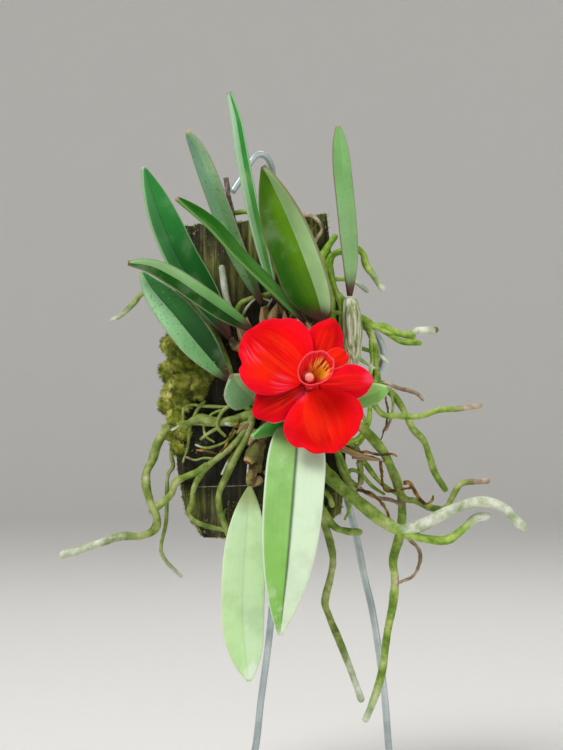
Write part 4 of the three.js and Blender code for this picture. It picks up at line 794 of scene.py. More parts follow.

# The leaves: thick, stiff blades channelled along the midrib, each on a short purple stalk. A row gives
# a leaf's route from stalk to tip, its shape, and the colours of its two halves, painted lit and shaded,
# its margin and its tip, and how much painted highlight and painted sheen it has.

LEAVES = {
    "leaf_left_back": dict(
        route=[(230, 338, -17), (204, 303, -15), (180, 265, -13.5), (161, 223, -13.5), (149, 188, -15),
               (143, 167, -16)],
        half_width=9.3, turn=31, fold=31, widest=0.42, base=2.2, tip=2.9,
        left=("58a05e", "2c7038"), right=("30863c", "064804"), edge="98b88c", end="c4d0b0", spots=0.1,
        groove=0.6),
    "leaf_top_left": dict(
        route=[(262, 305, -15), (250, 279, -16), (233, 241, -16), (211, 182, -18), (198, 150, -20),
               (187, 131, -22)],
        half_width=4.4, turn=-18, fold=14, widest=0.5, base=2.4, tip=4.6,
        left=("70987a", "70a068"), right=("84ac80", "4e7c40"), edge="9c9a84", end="c8b078", spots=0.8,
        groove=0),
    "leaf_top_middle": dict(
        route=[(277, 304, -15), (263, 252, -14.5), (252, 205, -14.5), (243, 160, -15), (236, 118, -16),
               (229, 92, -17)],
        half_width=3.4, turn=0, fold=42, widest=0.5, base=2.4, tip=4,
        left=("a4cca4", "84b078"), right=("34903c", "4c8838"), edge="b0ccac", end="9c988c", spots=0.1,
        groove=0.5),
    "leaf_long_left": dict(
        route=[(304, 322, -19), (270, 288, -27), (238, 256, -31), (212, 227, -33), (176, 198, -36)],
        half_width=5, turn=58, fold=18, widest=0.5, base=2.2, tip=3.4,
        left=("2c6c10", "4a8030"), right=("186000", "508a38"), edge="6c9850", end="b89088", spots=0.1,
        groove=0.3),
    "leaf_middle": dict(
        route=[(325, 322, -22), (317, 292, -27), (302, 250, -31), (283, 205, -34), (270, 178, -36),
               (263, 166, -37)],
        half_width=13.4, turn=-33, fold=33, widest=0.4, base=3.2, tip=2.8,
        left=("386400", "205800"), right=("94b478", "b8e0a0"), edge="7c6c50", end="74564c", spots=0.06,
        lit=0.45, groove=0.15),
    "leaf_right": dict(
        route=[(350, 296, -17), (350, 262, -17), (347, 220, -16), (342, 170, -16), (338, 126, -17)],
        half_width=4, turn=12, fold=12, widest=0.5, base=2.6, tip=5,
        left=("7cb46a", "8cb47c"), right=("80b670", "86ac74"), edge="90806c", end="a09c84", spots=0.3,
        groove=0),
    "leaf_left_upper": dict(
        route=[(252, 330, -20), (226, 313, -26), (200, 295, -30), (174, 277.5, -32.5), (150, 266, -34.5),
               (128, 263, -36)],
        half_width=4.7, turn=0, fold=30, widest=0.42, base=2.2, tip=3.2,
        left=("0e4c00", "104000"), right=("90bc80", "6cac5c"), edge="7c9060", end="8c5048", spots=0.08,
        groove=0.2),
    "leaf_left_lower": dict(
        route=[(228, 380, -17), (211, 360, -20), (195, 341, -22), (174, 315, -24), (151, 288, -26),
               (141, 272, -27)],
        half_width=8.6, turn=13, fold=28, widest=0.42, base=1.6, tip=2.7,
        left=("a4d8a4", "80bc78"), right=("3c8440", "1a441a"), edge="98b48c", end="a8ac88", spots=1,
        groove=1),
    "leaf_small_left": dict(
        route=[(254, 402, -18), (247, 395, -23), (239, 387, -29), (231, 376, -35)],
        half_width=8.6, turn=8, fold=8, widest=0.5, base=2, tip=2.3,
        left=("8cc48c", "84b87c"), right=("a8cc90", "98b880"), edge="b0ac90", end="8a7a60", spots=0.35,
        groove=0.2, stalk="6f7a4c"),
    "leaf_small_right": dict(
        route=[(346, 402, -20), (358, 399, -27), (374, 393, -32), (388, 388, -35)],
        half_width=4.6, turn=12, fold=12, widest=0.55, base=2, tip=3,
        left=("a4dc7c", "98d06c"), right=("90d06c", "88c864"), edge="b8d498", end="a4b090", spots=0.1,
        groove=0.1, stalk="6f7a4c"),
    "leaf_small_bright": dict(
        route=[(292, 421, -19), (280, 424, -26), (266, 428, -31), (252, 437, -35)],
        half_width=4.2, turn=-40, fold=26, widest=0.5, base=1.8, tip=2.2,
        left=("5ca44c", "4c983c"), right=("20a010", "1c980c"), edge="90c47c", end="b6c8a0", spots=0.05,
        groove=0.1, stalk="6f7a4c"),
    "leaf_hanging_front": dict(
        route=[(298, 418, -21), (297, 446, -33), (293, 500, -39), (288, 560, -41), (280, 635, -40)],
        half_width=12.4, turn=-3, fold=12, widest=0.36, base=3.2, tip=2.6,
        left=("dcf0d0", "d4eccc"), right=("8ac45c", "98cc78"), edge="e8f2de", end="d4d8b8", spots=0.04,
        painted_sheen=0.35, groove=0.9),
    "leaf_hanging_left": dict(
        route=[(250, 487, -20), (247, 525, -26), (244, 570, -29), (243, 620, -29), (249, 681, -27)],
        half_width=9, turn=4, fold=8, widest=0.48, base=2.5, tip=4,
        left=("ccecbc", "c8eab0"), right=("c4eaa8", "ccecba"), edge="e4ecca", end="b8cc8c", spots=0.12,
        painted_sheen=0.5, groove=0.12, stalk="9aa86c"),
}
LEAF_END_HALF_WIDTH = 0.9
LEAF_THICKNESS = 2
LEAF_EDGE_THICKNESS = 0.75
LEAF_STALK = 0.07


def swell(along, widest, base, tip):
    """How wide a leaf or petal is along its length, as a share of its greatest width."""
    if along < widest:
        return 1 - (1 - along / widest) ** base
    return 1 - ((along - widest) / (1 - widest)) ** tip


class Midrib:
    """A smooth route read by the share of its length."""

    def __init__(self, points):
        self.fine = bend_through(points, 24)
        self.reach = [0]
        for a, b in zip(self.fine, self.fine[1:]):
            self.reach.append(self.reach[-1] + (b - a).length)

    def at(self, share):
        """The point and the direction at a share of the length."""
        goal = min(max(share, 0), 1) * self.reach[-1]
        i = next(k for k in range(1, len(self.reach)) if self.reach[k] >= goal - 1e-12)
        part = (goal - self.reach[i - 1]) / (self.reach[i] - self.reach[i - 1])
        step = (self.fine[i] - self.fine[i - 1]).normalized()
        after = (self.fine[min(i + 1, len(self.fine) - 1)]
                 - self.fine[min(i, len(self.fine) - 2)]).normalized()
        return self.fine[i - 1].lerp(self.fine[i], part), step.lerp(after, part).normalized()


def blade(name, across_steps, along_steps, place):
    """A thin closed blade. place gives the point for across (-1 to 1), along (0 to 1) and which face
    (1 in front, -1 behind), and the blade's UV map keeps across and along."""
    bm = bmesh.new()
    bmesh.ops.create_grid(bm, x_segments=across_steps, y_segments=along_steps, size=1)
    bmesh.ops.translate(bm, vec=(0, 1, -1), verts=bm.verts)
    bmesh.ops.scale(bm, vec=(1, 0.5, 1), verts=bm.verts)
    front = bmesh.ops.extrude_face_region(bm, geom=bm.faces[:])["geom"]
    bmesh.ops.translate(bm, vec=(0, 0, 2), verts=[g for g in front if isinstance(g, bmesh.types.BMVert)])
    uv = bm.loops.layers.uv.new("UVMap")
    for face in bm.faces:
        for loop in face.loops:
            loop[uv].uv = (loop.vert.co.x / 2 + 0.5, loop.vert.co.y)
    for spot in bm.verts:
        spot.co = place(spot.co.x, spot.co.y, spot.co.z)
    bmesh.ops.recalc_face_normals(bm, faces=bm.faces)
    return mesh_of(bm, name)


def leaf_mesh(name, spec):
    """A leaf along its route, folded at its midrib and thinner at its margin."""
    midrib = Midrib([seen(*p) for p in spec["route"]])
    fold, turn = math.radians(spec["fold"]), math.radians(spec["turn"])
    stations = {}

    def place(across, along, face_side):
        key = round(along, 6)
        if key not in stations:
            here = 1 - (1 - along) ** 1.35
            point, tangent = midrib.at(here)
            face = (Vector((0, -1, 0)) + tangent * tangent.y).normalized()
            face = Matrix.Rotation(turn, 3, tangent) @ face
            share = swell(here, spec["widest"], spec["base"], spec["tip"])
            width = LEAF_END_HALF_WIDTH + (spec["half_width"] - LEAF_END_HALF_WIDTH) * share
            stations[key] = point, face, tangent.cross(face), width
        point, face, side, width = stations[key]
        rise = math.sqrt(across * across + 0.004) - 0.063
        wave = 0.25 * math.sin(along * 9 + across) * across * across
        point = point + side * across * width * math.cos(fold) * MM
        point = point + face * (rise * width * math.sin(fold) + wave) * MM
        tilt = math.sin(fold) * across / math.sqrt(across * across + 0.02)
        normal = (face * math.cos(fold) - side * tilt).normalized()
        fullness = math.sqrt(max(0, 1 - abs(across) ** 2.2))
        thick = LEAF_EDGE_THICKNESS + (LEAF_THICKNESS - LEAF_EDGE_THICKNESS) * fullness
        if along < LEAF_STALK:
            thick += 0.6 * (1 - along / LEAF_STALK)
        return point + normal * face_side * thick / 2 * MM

    return blade(name, 26, 56, place)


# One pattern serves all the leaves: two halves painted lit and shaded, a painted highlight beside the
# groove, a dark groove, fine veins, painted sheen near base and tip, a margin, a tip, scars and dark
# specks. A leaf's colours, with its painted light and shade, come in through its inputs.


def pattern(name, colours, values, results):
    """A new node group with colour and number inputs, a colour output and number outputs. Gives the group,
    its inputs and outputs as the nodes inside see them, and the UV and object coordinates."""
    group = bpy.data.node_groups.new(name, "ShaderNodeTree")
    for side, kind, labels in (("INPUT", "Color", colours), ("INPUT", "Float", values),
                               ("OUTPUT", "Color", ["Colour"]), ("OUTPUT", "Float", results)):
        for label in labels:
            group.interface.new_socket(label, in_out=side, socket_type="NodeSocket" + kind)
    uv = node(group, "ShaderNodeUVMap", uv_map="UVMap").outputs["UV"]
    spot = node(group, "ShaderNodeTexCoord").outputs["Object"]
    return group, node(group, "NodeGroupInput").outputs, node(group, "NodeGroupOutput").inputs, uv, spot


LEAF_COLOURS = ("Left_tip", "Left_base", "Right_tip", "Right_base", "Edge", "End", "Stalk")
LEAF_SHARES = ("Spots", "Lit", "Painted_sheen", "Groove")

leaf_skin, given, taken, uv, spot = pattern("leaf_skin", LEAF_COLOURS, LEAF_SHARES, ("Gloss", "Relief"))
tree = leaf_skin
flat = node(tree, "ShaderNodeSeparateXYZ", {"Vector": uv}).outputs
wander = noise_of(tree, spot, 60)
shade = noise_of(tree, spot, 75, 4)
specks = noise_of(tree, spot, 900, 4, 0.7)
across = math_of(tree, "ADD", flat["X"], math_of(tree, "MULTIPLY_ADD", wander, 0.03, -0.015))
length = band(tree, math_of(tree, "MULTIPLY_ADD", wander, 0.15, flat["Y"]), 0.2, 0.85)
# Painted light and shade: on most leaves one half's colours are paler, as if lit, and the other's darker, as
# if shaded.
left = blend(tree, length, given["Left_base"], given["Left_tip"])
right = blend(tree, length, given["Right_base"], given["Right_tip"])
# Painted highlight: a yellow-green band on the left half beside the groove, scaled by the leaf's Lit share.
lit = math_of(tree, "MULTIPLY", band(tree, across, 0.12, 0.44), band(tree, flat["Y"], 0.9, 0.6))
left = blend(tree, math_of(tree, "MULTIPLY", lit, given["Lit"]), left, "7eb414")
skin = blend(tree, band(tree, across, 0.488, 0.522), left, right)
middle = math_of(tree, "ABSOLUTE", math_of(tree, "SUBTRACT", across, 0.505))
groove = math_of(tree, "MULTIPLY", band(tree, middle, 0.055, 0.0), given["Groove"])
skin = blend(tree, math_of(tree, "MULTIPLY", groove, 0.85), skin, "1a2a1c")
veins = stretched_noise(tree, uv, (46, 1.6, 1), 1)
skin = blend(tree, band(tree, veins, 0.4, 0.62, 0, 0.14), skin, "e6f2d0", "SOFT_LIGHT")
skin = blend(tree, band(tree, shade, 0.34, 0.56, 0.14, 0), skin, "2c5a20", "MULTIPLY")
skin = blend(tree, band(tree, shade, 0.54, 0.74, 0, 0.12), skin, "dcecc4")
# Painted sheen: whitish patches near the base and the tip, strongest on the pale hanging leaves.
sheen_mask = band(tree, noise_of(tree, spot, 130, 5, 0.6), 0.5, 0.66)
ends = math_of(tree, "MAXIMUM", band(tree, flat["Y"], 0.62, 0.8), band(tree, flat["Y"], 0.3, 0.12))
sheen_mask = math_of(tree, "MULTIPLY", math_of(tree, "MULTIPLY", sheen_mask, ends), given["Painted_sheen"])
skin = blend(tree, sheen_mask, skin, "f4f8f0")
rim = math_of(tree, "ABSOLUTE", math_of(tree, "SUBTRACT", flat["X"], 0.5))
skin = blend(tree, band(tree, rim, 0.462, 0.494, 0, 0.8), skin, given["Edge"])
skin = blend(tree, band(tree, math_of(tree, "MULTIPLY_ADD", wander, 0.05, flat["Y"]), 0.965, 1.03),
             skin, given["End"])
skin = blend(tree, band(tree, math_of(tree, "MULTIPLY_ADD", wander, -0.1, flat["Y"]), 0.07, -0.02),
             skin, given["Stalk"])
dark = math_of(tree, "MULTIPLY", band(tree, specks, 0.57, 0.64), given["Spots"])
skin = blend(tree, math_of(tree, "MULTIPLY", dark, 0.55), skin, "263420")
scars = node(tree, "ShaderNodeTexVoronoi", {"Vector": spot, "Scale": 240}).outputs["Distance"]
scar = math_of(tree, "MULTIPLY", band(tree, scars, 0.09, 0.03), given["Spots"])
skin = blend(tree, math_of(tree, "MULTIPLY", scar, 0.6), skin, "d9dcc4")
tree.links.new(skin, taken["Colour"])
tree.links.new(band(tree, shade, 0.3, 0.7, 0.38, 0.5), taken["Gloss"])
tree.links.new(math_of(tree, "ADD", veins, math_of(tree, "MULTIPLY", specks, 0.5)), taken["Relief"])

for name, spec in LEAVES.items():
    leaf_material, tree, shader, place = finish_of(name + "_skin", Specular_IOR_Level=0.15,
                                                   Subsurface_Weight=0.05, Subsurface_Scale=0.002)
    skin = node(tree, "ShaderNodeGroup", node_tree=leaf_skin)
    codes = (*spec["left"], *spec["right"], spec["edge"], spec["end"], spec.get("stalk", "5a3a34"))
    for label, code in zip(LEAF_COLOURS, codes):
        skin.inputs[label].default_value = colour(code)
    for label in LEAF_SHARES:
        skin.inputs[label].default_value = spec.get(label.lower(), 0)
    tree.links.new(skin.outputs["Colour"], shader.inputs["Base Color"])
    tree.links.new(skin.outputs["Gloss"], shader.inputs["Roughness"])
    bumped(tree, shader, skin.outputs["Relief"], 0.2, 0.0004)
    leaf = piece(name + "_blade", leaf_mesh(name, spec), leaf_material)
    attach(leaf, "root")
    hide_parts(name)

# The dry sheaths: papery brown leaf bases that stand round the older stems, curled, veined and frayed at
# their tips. More of them, torn and flat, lie along the creeping stem.

SHEATHS = {
    "dry_sheath_left": ([(248, 352, -15), (243, 336, -18), (236, 318, -20)], 2.6),
    "dry_sheath_middle": ([(275, 334, -15), (272, 320, -19), (278, 302, -22)], 2.6),
    "dry_sheath_right": ([(312, 344, -15), (308, 330, -18), (300, 312, -17)], 2.3),
}
TORN_SHEATHS = [
    ([(256, 346, -17), (250, 331, -21), (246, 316, -24)], 1.7),
    ([(266, 336, -17), (262, 320, -20), (262, 306, -21)], 1.5),
    ([(283, 334, -17), (285, 322, -21), (284, 309, -23)], 1.6),
    ([(306, 338, -18), (303, 328, -22), (296, 318, -24)], 1.6),
    ([(314, 342, -18), (311, 331, -21), (306, 321, -22)], 1.4),
    ([(262, 478, -16), (257, 482, -18), (249, 488, -18)], 1.8),
    ([(266, 470, -16), (270, 478, -18), (268, 488, -18)], 1.5),
    ([(258, 430, -17), (253, 437, -20), (248, 446, -21)], 1.6),
    ([(250, 424, -16), (242, 428, -18), (236, 434, -19)], 1.2),
    ([(341, 448, -14), (356, 454, -16), (372, 458, -16)], 1.4),
    ([(352, 456, -14), (366, 458, -16), (384, 461, -16)], 1.2),
    ([(348, 372, -20), (344, 362, -21), (343, 350, -20)], 1.3),
]


def sheath_mesh(name, pixels, half_width):
    """A thin curled strip that narrows and frays towards its tip."""
    curl = Midrib([seen(*p) for p in pixels])

    def place(across, along, face_side):
        point, tangent = curl.at(along)
        face = (Vector((0, -1, 0)) + tangent * tangent.y).normalized()
        side = tangent.cross(face)
        fray = 1 - 0.16 * along * abs(noise.noise(Vector((across * 3, half_width, 7))))
        width = half_width * (1 - 0.8 * along * along)
        point, tangent = curl.at(along * fray)
        point = point + side * across * width * MM - face * across * across * width * 0.4 * MM
        return point + face * (0.25 * noise.noise(point * 600) + 0.16 * face_side) * MM

    return blade(name, 8, 14, place)


sheath_material, tree, shader, place = finish_of("dry_sheath", Roughness=0.75)
uv = node(tree, "ShaderNodeUVMap", uv_map="UVMap").outputs["UV"]
veins = stretched_noise(tree, uv, (14, 1, 1), 1.4, 4)
tree.links.new(ramp(tree, veins, ((0.32, "5c3f22"), (0.46, "96743f"), (0.58, "c9b083"), (0.7, "e6dcc0"))),
               shader.inputs["Base Color"])
bumped(tree, shader, veins, 0.5, 0.0005)
for name, (pixels, half_width) in SHEATHS.items():
    sheath = piece(name + "_paper", sheath_mesh(name, pixels, half_width), sheath_material)
    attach(sheath, "root")
    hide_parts(name)
bm = bmesh.new()
for i, (pixels, half_width) in enumerate(TORN_SHEATHS):
    bm.from_mesh(sheath_mesh("torn_%d" % i, pixels, half_width))
torn_mesh = mesh_of(bm, "torn_sheaths")
torn = piece("torn_sheaths", torn_mesh, sheath_material)
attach(torn, "root")

# A dead stem that stands at the slab's top edge, grey and shrunken, a little thicker near its top.

DEAD_STEM = [(226, 178, -9), (229, 198, -10), (233, 214, -11), (238, 240, -11), (241, 262, -11)]

line = bend_through([seen(*p) for p in DEAD_STEM], 12)
thick = [MM * (0.9 + 0.22 * noise.noise(p * 420) + (0.25 if i < 8 else 0)) for i, p in enumerate(line)]
dead_material, tree, shader, place = finish_of("dead_stem_skin", Roughness=0.85)
fade = noise_of(tree, place, 300, 5)
tree.links.new(ramp(tree, fade, ((0.34, "3e2f26"), (0.5, "7c695c"), (0.64, "b3a69a"))),
               shader.inputs["Base Color"])
bumped(tree, shader, fade, 0.6, 0.0006)
dead_stem = piece("dead_stem_stub", rods("dead_stem", [(line, thick)], 12), dead_material)
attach(dead_stem, "root")
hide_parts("dead_stem")

# The flower: three narrower sepals behind two broad petals, all velvety red and about a millimetre thick,
# with a fan of fine veins, a crimson rim that ruffles, a darker throat, painted pink highlights and a
# painted shadow below the lip. They spring from a short neck.

FLOWER_MIDDLE = (310, 384)
FLOWER_DEPTH = -42
SEGMENTS = {
    "sepal_dorsal": dict(aim=208, length=26.3, half_width=8.2, widest=0.55, depth=0, wave=0.5, deep="96000e",
                         bright="dc0014", rim="f4a0a4", bites=[(-9, 0.05, 5), (12, 0.04, 5)], pleats=[]),
    "sepal_upper": dict(aim=71, length=28, half_width=7.8, widest=0.55, depth=0, wave=0.5, deep="cc000c",
                        bright="f20410", rim="f01430", bites=[(8, 0.02, 5)], pleats=[]),
    "sepal_right": dict(aim=3, length=25.8, half_width=7.4, widest=0.55, depth=-1.7, wave=0.5, deep="cc0016",
                        bright="f80820", rim="f86a80", bites=[(-6, 0.02, 5)], pleats=[(3, 6, 0.25)]),
    "petal_upper": dict(aim=141, length=33.5, half_width=17, widest=0.47, depth=3, wave=1, deep="e4000c",
                        bright="ff0a10", rim="f60c40", bites=[(22, 0.065, 4), (-6, 0.02, 5), (-27, 0.03, 6)],
                        pleats=[(14, 8, 0.5), (38, 9, 0.55)]),
    "petal_lower": dict(aim=290, length=29.4, half_width=16.6, widest=0.48, depth=3, wave=1, deep="dc0408",
                        bright="ff0c0c", rim="f80c38",
                        bites=[(-26, 0.05, 5), (-8, 0.02, 4), (17, 0.02, 5), (33, 0.03, 5)],
                        pleats=[(-6, 16, 0.3), (24, 10, 0.25)]),
}
PETAL_THICKNESS = 0.8
PETAL_START = 2.6
PETAL_START_HALF_WIDTH = 0.6
STALK_ROUTE = [(303, 396, -13), (312, 390, -22), (313, 386, -32)]


def segment_mesh(name, spec):
    """A sepal or petal that spreads from the flower's middle, with bites in its rim and pleats."""
    middle = seen(*FLOWER_MIDDLE, FLOWER_DEPTH)
    aim = math.radians(spec["aim"])
    outward = Vector((math.cos(aim), 0, math.sin(aim)))
    side = Vector((math.sin(aim), 0, -math.cos(aim)))
    front = Vector((0, -1, 0))

    def place(across, along, face_side):
        along = 1 - (1 - along) ** 1.35
        share = max(0, swell(along, spec["widest"], 2, 2.2)) ** 0.72
        width = PETAL_START_HALF_WIDTH + (spec["half_width"] - PETAL_START_HALF_WIDTH) * share
        out = PETAL_START + (spec["length"] - PETAL_START) * along
        sideways = across * width
        angle = math.degrees(math.atan2(-sideways, out))
        edge = max(abs(across), along) ** 6
        reach = 1 - edge * sum(deep * math.exp(-((angle - at) / wide) ** 2)
                               for at, deep, wide in spec["bites"])
        ruffle = spec["wave"] * along * across * across * math.sin(along * 7 + across * 3)
        ruffle += 0.3 * spec["wave"] * (abs(across) ** 3 + along**6) * math.sin(angle * 0.34 + spec["aim"])
        ruffle += along * along * sum(high * math.exp(-((angle - at) / wide) ** 2)
                                      * math.sin((angle - at) * 0.9)
                                      for at, wide, high in spec["pleats"])
        crease = 0.7 * math.exp(-(across / 0.09) ** 2) * (1 - along) - 0.35 * math.cos(across * 2.4) * along
        cup = spec["depth"] + 1.6 * along - 2.2 * along * along + ruffle - crease
        thick = PETAL_THICKNESS * (1 - 0.45 * abs(across) ** 6)
        spread = outward * out * reach + side * sideways * reach
        return middle + (spread + front * (cup + face_side * thick / 2)) * MM

    return blade(name, 60 if spec["half_width"] > 10 else 32, 48, place)


# Marks of the flower: where each sits, where its full tone ends and where it fades out, how strong it is,
# whether it breaks up into streaks, and its colour. The two streaked pink marks are painted highlights
# on crinkles, and the dark red one at 333, 402 is a painted shadow under the lip; the rest are the
# flower's own colour.
PETAL_MARKS = [
    ((262, 368), 2, 9, 0.55, False, "ff2c0c"), ((318, 420), 2, 9, 0.55, False, "ff2c10"),
    ((254, 354), 1, 6, 0.5, True, "ff5c7c"), ((281, 384), 1, 6, 0.5, True, "ff5c80"),
    ((333, 402), 1, 12, 0.7, False, "c40002"), ((268, 400), 1, 7, 0.6, False, "a80006"),
    ((301, 396), 0.5, 4, 0.5, False, "ff4464"), ((370, 378), 0.5, 4, 0.4, False, "ff6488"),
]

# One velvety skin serves all five, and the lip's tongue: a fan of veins from the base, mottling,
# painted pink glints and a rim.
petal_skin, given, taken, uv, spot = pattern("petal_skin", ("Deep", "Bright", "Rim"), (), ("Relief",))
tree = petal_skin
flat = node(tree, "ShaderNodeSeparateXYZ", {"Vector": uv}).outputs
cloud = noise_of(tree, spot, 70, 3)
velvet = noise_of(tree, spot, 2600, 2)
fan = stretched_noise(tree, uv, (26, 0.9, 1), 1, 4, 0.55)
rim = math_of(tree, "ABSOLUTE", math_of(tree, "SUBTRACT", flat["X"], 0.5))
skin = blend(tree, band(tree, cloud, 0.36, 0.54), given["Deep"], given["Bright"])
heart = math_of(tree, "MULTIPLY", band(tree, rim, 0.36, 0.08), band(tree, flat["Y"], 0.92, 0.5))
skin = blend(tree, math_of(tree, "MULTIPLY", band(tree, fan, 0.42, 0.66, 0.1, 0.75), heart), skin, "ff3c10")
skin = blend(tree, band(tree, fan, 0.44, 0.3, 0, 0.3), skin, given["Deep"])
# Painted highlight: pink glints along the fan's streaks towards the rim and the tip.
outskirts = math_of(tree, "MAXIMUM", band(tree, rim, 0.26, 0.46), band(tree, flat["Y"], 0.7, 0.96))
glint = math_of(tree, "MULTIPLY", band(tree, fan, 0.54, 0.72, 0.12, 0.6), outskirts)
skin = blend(tree, glint, skin, "ff2850")
skin = blend(tree, band(tree, flat["Y"], 0.16, 0.0, 0, 0.5), skin, given["Deep"])
level = node(tree, "ShaderNodeVectorMath", {0: spot, 1: (1, 0, 1)}, operation="MULTIPLY").outputs["Vector"]
for (across, down), inner, outer, share, streaked, code in PETAL_MARKS:
    centre = seen(across, down, FLOWER_DEPTH)
    mask = band(tree, distance_to(tree, level, (centre.x, 0, centre.z)), outer * MM, inner * MM, 0, share)
    if streaked:
        mask = math_of(tree, "MULTIPLY", mask, band(tree, fan, 0.46, 0.56))
    skin = blend(tree, mask, skin, code)
skin = blend(tree, band(tree, rim, 0.47, 0.499, 0, 0.8), skin, given["Rim"])
skin = blend(tree, band(tree, flat["Y"], 0.975, 0.999, 0, 0.8), skin, given["Rim"])
tree.links.new(skin, taken["Colour"])
relief = math_of(tree, "ADD", fan, math_of(tree, "MULTIPLY", velvet, 0.35))
tree.links.new(relief, taken["Relief"])


def petal_finish(name, deep, bright, rim):
    """A material with the velvety skin in the given tones."""
    material, tree, shader, place = finish_of(name, Roughness=0.6, Specular_IOR_Level=0.05,
                                              Subsurface_Weight=0.08, Subsurface_Scale=0.0015)
    skin = node(tree, "ShaderNodeGroup", node_tree=petal_skin)
    for label, code in (("Deep", deep), ("Bright", bright), ("Rim", rim)):
        skin.inputs[label].default_value = colour(code)
    tree.links.new(skin.outputs["Colour"], shader.inputs["Base Color"])
    bumped(tree, shader, skin.outputs["Relief"], 0.35, 0.0006)
    return material


for name, spec in SEGMENTS.items():
    petal = piece(name + "_blade", segment_mesh(name, spec),
                  petal_finish(name + "_skin", spec["deep"], spec["bright"], spec["rim"]))
    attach(petal, "root")
    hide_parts(name)

stalk_top = seen(*FLOWER_MIDDLE, FLOWER_DEPTH + 1.15)
stalk_line = bend_through([seen(*p) for p in STALK_ROUTE] + [stalk_top], 8)
stalk_thick = [MM * (1.3 + 0.9 * (i / (len(stalk_line) - 1)) ** 2) for i in range(len(stalk_line))]
stalk_material, tree, shader, place = finish_of("stalk_skin", Roughness=0.5)
blush = noise_of(tree, place, 220, 4)
red_end = band(tree, distance_to(tree, place, seen(*FLOWER_MIDDLE, FLOWER_DEPTH)), 0.012, 0.005)
bark = ramp(tree, blush, ((0.35, "6d2a22"), (0.5, "94532e"), (0.66, "9a8c4a")))
tree.links.new(blend(tree, red_end, bark, "e8142c"), shader.inputs["Base Color"])
bumped(tree, shader, blush, 0.3, 0.0004)
stalk = piece("flower_stalk_rod", rods("flower_stalk", [(stalk_line, stalk_thick)], 16), stalk_material)
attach(stalk, "root")
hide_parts("flower_stalk")

neck_ends = [seen(*FLOWER_MIDDLE, FLOWER_DEPTH + 0.1), seen(*FLOWER_MIDDLE, FLOWER_DEPTH - 3.9)]
disc_ends = [seen(*FLOWER_MIDDLE, FLOWER_DEPTH + 0.7), seen(*FLOWER_MIDDLE, FLOWER_DEPTH - 0.1)]
neck_material, tree, shader, place = finish_of("neck_skin", Roughness=0.5)
neck_tone = ramp(tree, noise_of(tree, place, 500, 4), ((0.35, "d80418"), (0.55, "f01424"), (0.7, "f84860")))
tree.links.new(neck_tone, shader.inputs["Base Color"])
neck_rods = [(neck_ends, [2.2 * MM, 2.1 * MM]), (disc_ends, [3.6 * MM, 3.5 * MM])]
neck = piece("flower_neck_rod", rods("flower_neck", neck_rods, 20), neck_material)
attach(neck, "root")
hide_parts("flower_neck")

# The lip: one petal rolled into a small cup that leans up and to the right over the column, with a
# tongue beyond it. Its throat is orange yellow with dark red lines, its rim pink, its tongue red.

LIP_AIM = math.radians(30)
LIP_BACK = 4.2
LIP_SEAT = Vector((0, 0, 1.2))
LIP_LEAN = Vector((2.5, 0, 5.5))
LIP_CUP = dict(mouth=7.4, base=2.4, depth=10.5, narrow=0.88, wall=0.8)
LIP_CUP_STEPS = 14
LIP_TONGUE = dict(length=9.4, half_width=4.6, overlap=1.8)


def lip_point(out, sideways, forward):
    """A point of the lip: out along its aim, sideways across it, and forward from its bottom."""
    seat = seen(*FLOWER_MIDDLE, FLOWER_DEPTH - LIP_BACK) + LIP_SEAT * MM
    along = Vector((math.cos(LIP_AIM), 0, math.sin(LIP_AIM))) * out
    beside = Vector((math.sin(LIP_AIM), 0, -math.cos(LIP_AIM))) * sideways
    return seat + (along + beside + LIP_LEAN * forward / LIP_CUP["depth"] + Vector((0, -forward, 0))) * MM


bm = bmesh.new()
wall, depth = LIP_CUP["wall"], LIP_CUP["depth"]
outer, inner = [(0, 0)], []
for i in range(LIP_CUP_STEPS + 1):
    rise = i / LIP_CUP_STEPS
    radius = LIP_CUP["base"] + (LIP_CUP["mouth"] - LIP_CUP["base"]) * rise**0.7
    outer.append((radius, depth * rise))
    inner.append((radius - wall * (1 - 0.35 * rise), max(depth * rise, wall)))
profile = outer + [(LIP_CUP["mouth"] - 0.15, depth + 0.2)] + inner[::-1] + [(0, wall)]
inside = bm.verts.layers.float.new("inside")
corners = [bm.verts.new((radius, 0, up)) for radius, up in profile]
for i, corner in enumerate(corners):
    corner[inside] = 1.0 if i > len(outer) else 0.0
edges = [bm.edges.new(pair) for pair in zip(corners, corners[1:])]
bmesh.ops.spin(bm, geom=corners + edges, cent=(0, 0, 0), axis=(0, 0, 1), angle=2 * math.pi, steps=56,
               use_merge=True)
bmesh.ops.remove_doubles(bm, verts=bm.verts, dist=1e-5)
uv = bm.loops.layers.uv.new("UVMap")
for face in bm.faces:
    turns = [math.atan2(loop.vert.co.y, loop.vert.co.x) / (2 * math.pi) for loop in face.loops]
    seam = max(turns) - min(turns) > 0.5
    for loop, turn in zip(face.loops, turns):
        loop[uv].uv = (turn + 1 if seam and turn < 0 else turn, loop.vert.co.z / depth)
for spot in bm.verts:
    x, y, up = spot.co
    turn = math.atan2(y, x)
    ruffle = 0.5 * (up / depth) ** 3 * math.sin(7 * turn) + 0.25 * (up / depth) ** 3 * math.sin(13 * turn)
    dip = 2.2 * (up / depth) ** 2 * max(0, -math.cos(turn)) ** 2
    spot.co = lip_point(x * (1 + 0.04 * ruffle), y * LIP_CUP["narrow"], up - dip + 0.5 * ruffle)
bmesh.ops.recalc_face_normals(bm, faces=bm.faces)
cup_mesh = mesh_of(bm, "lip_cup")


def tongue_place(across, along, face_side):
    """A point of the lip's tongue, which is widest near its middle and bends down at its tip."""
    width = LIP_TONGUE["half_width"] * across * (0.72 + 0.5 * along - 0.75 * along**3)
    out = LIP_CUP["mouth"] - LIP_TONGUE["overlap"] + along * LIP_TONGUE["length"]
    ripple = 0.4 * along * math.sin(across * 6 + along * 4)
    forward = depth - 1.2 - 2.6 * along * along - 0.05 * width * width + ripple
    return lip_point(out, width, forward + 0.42 * face_side)


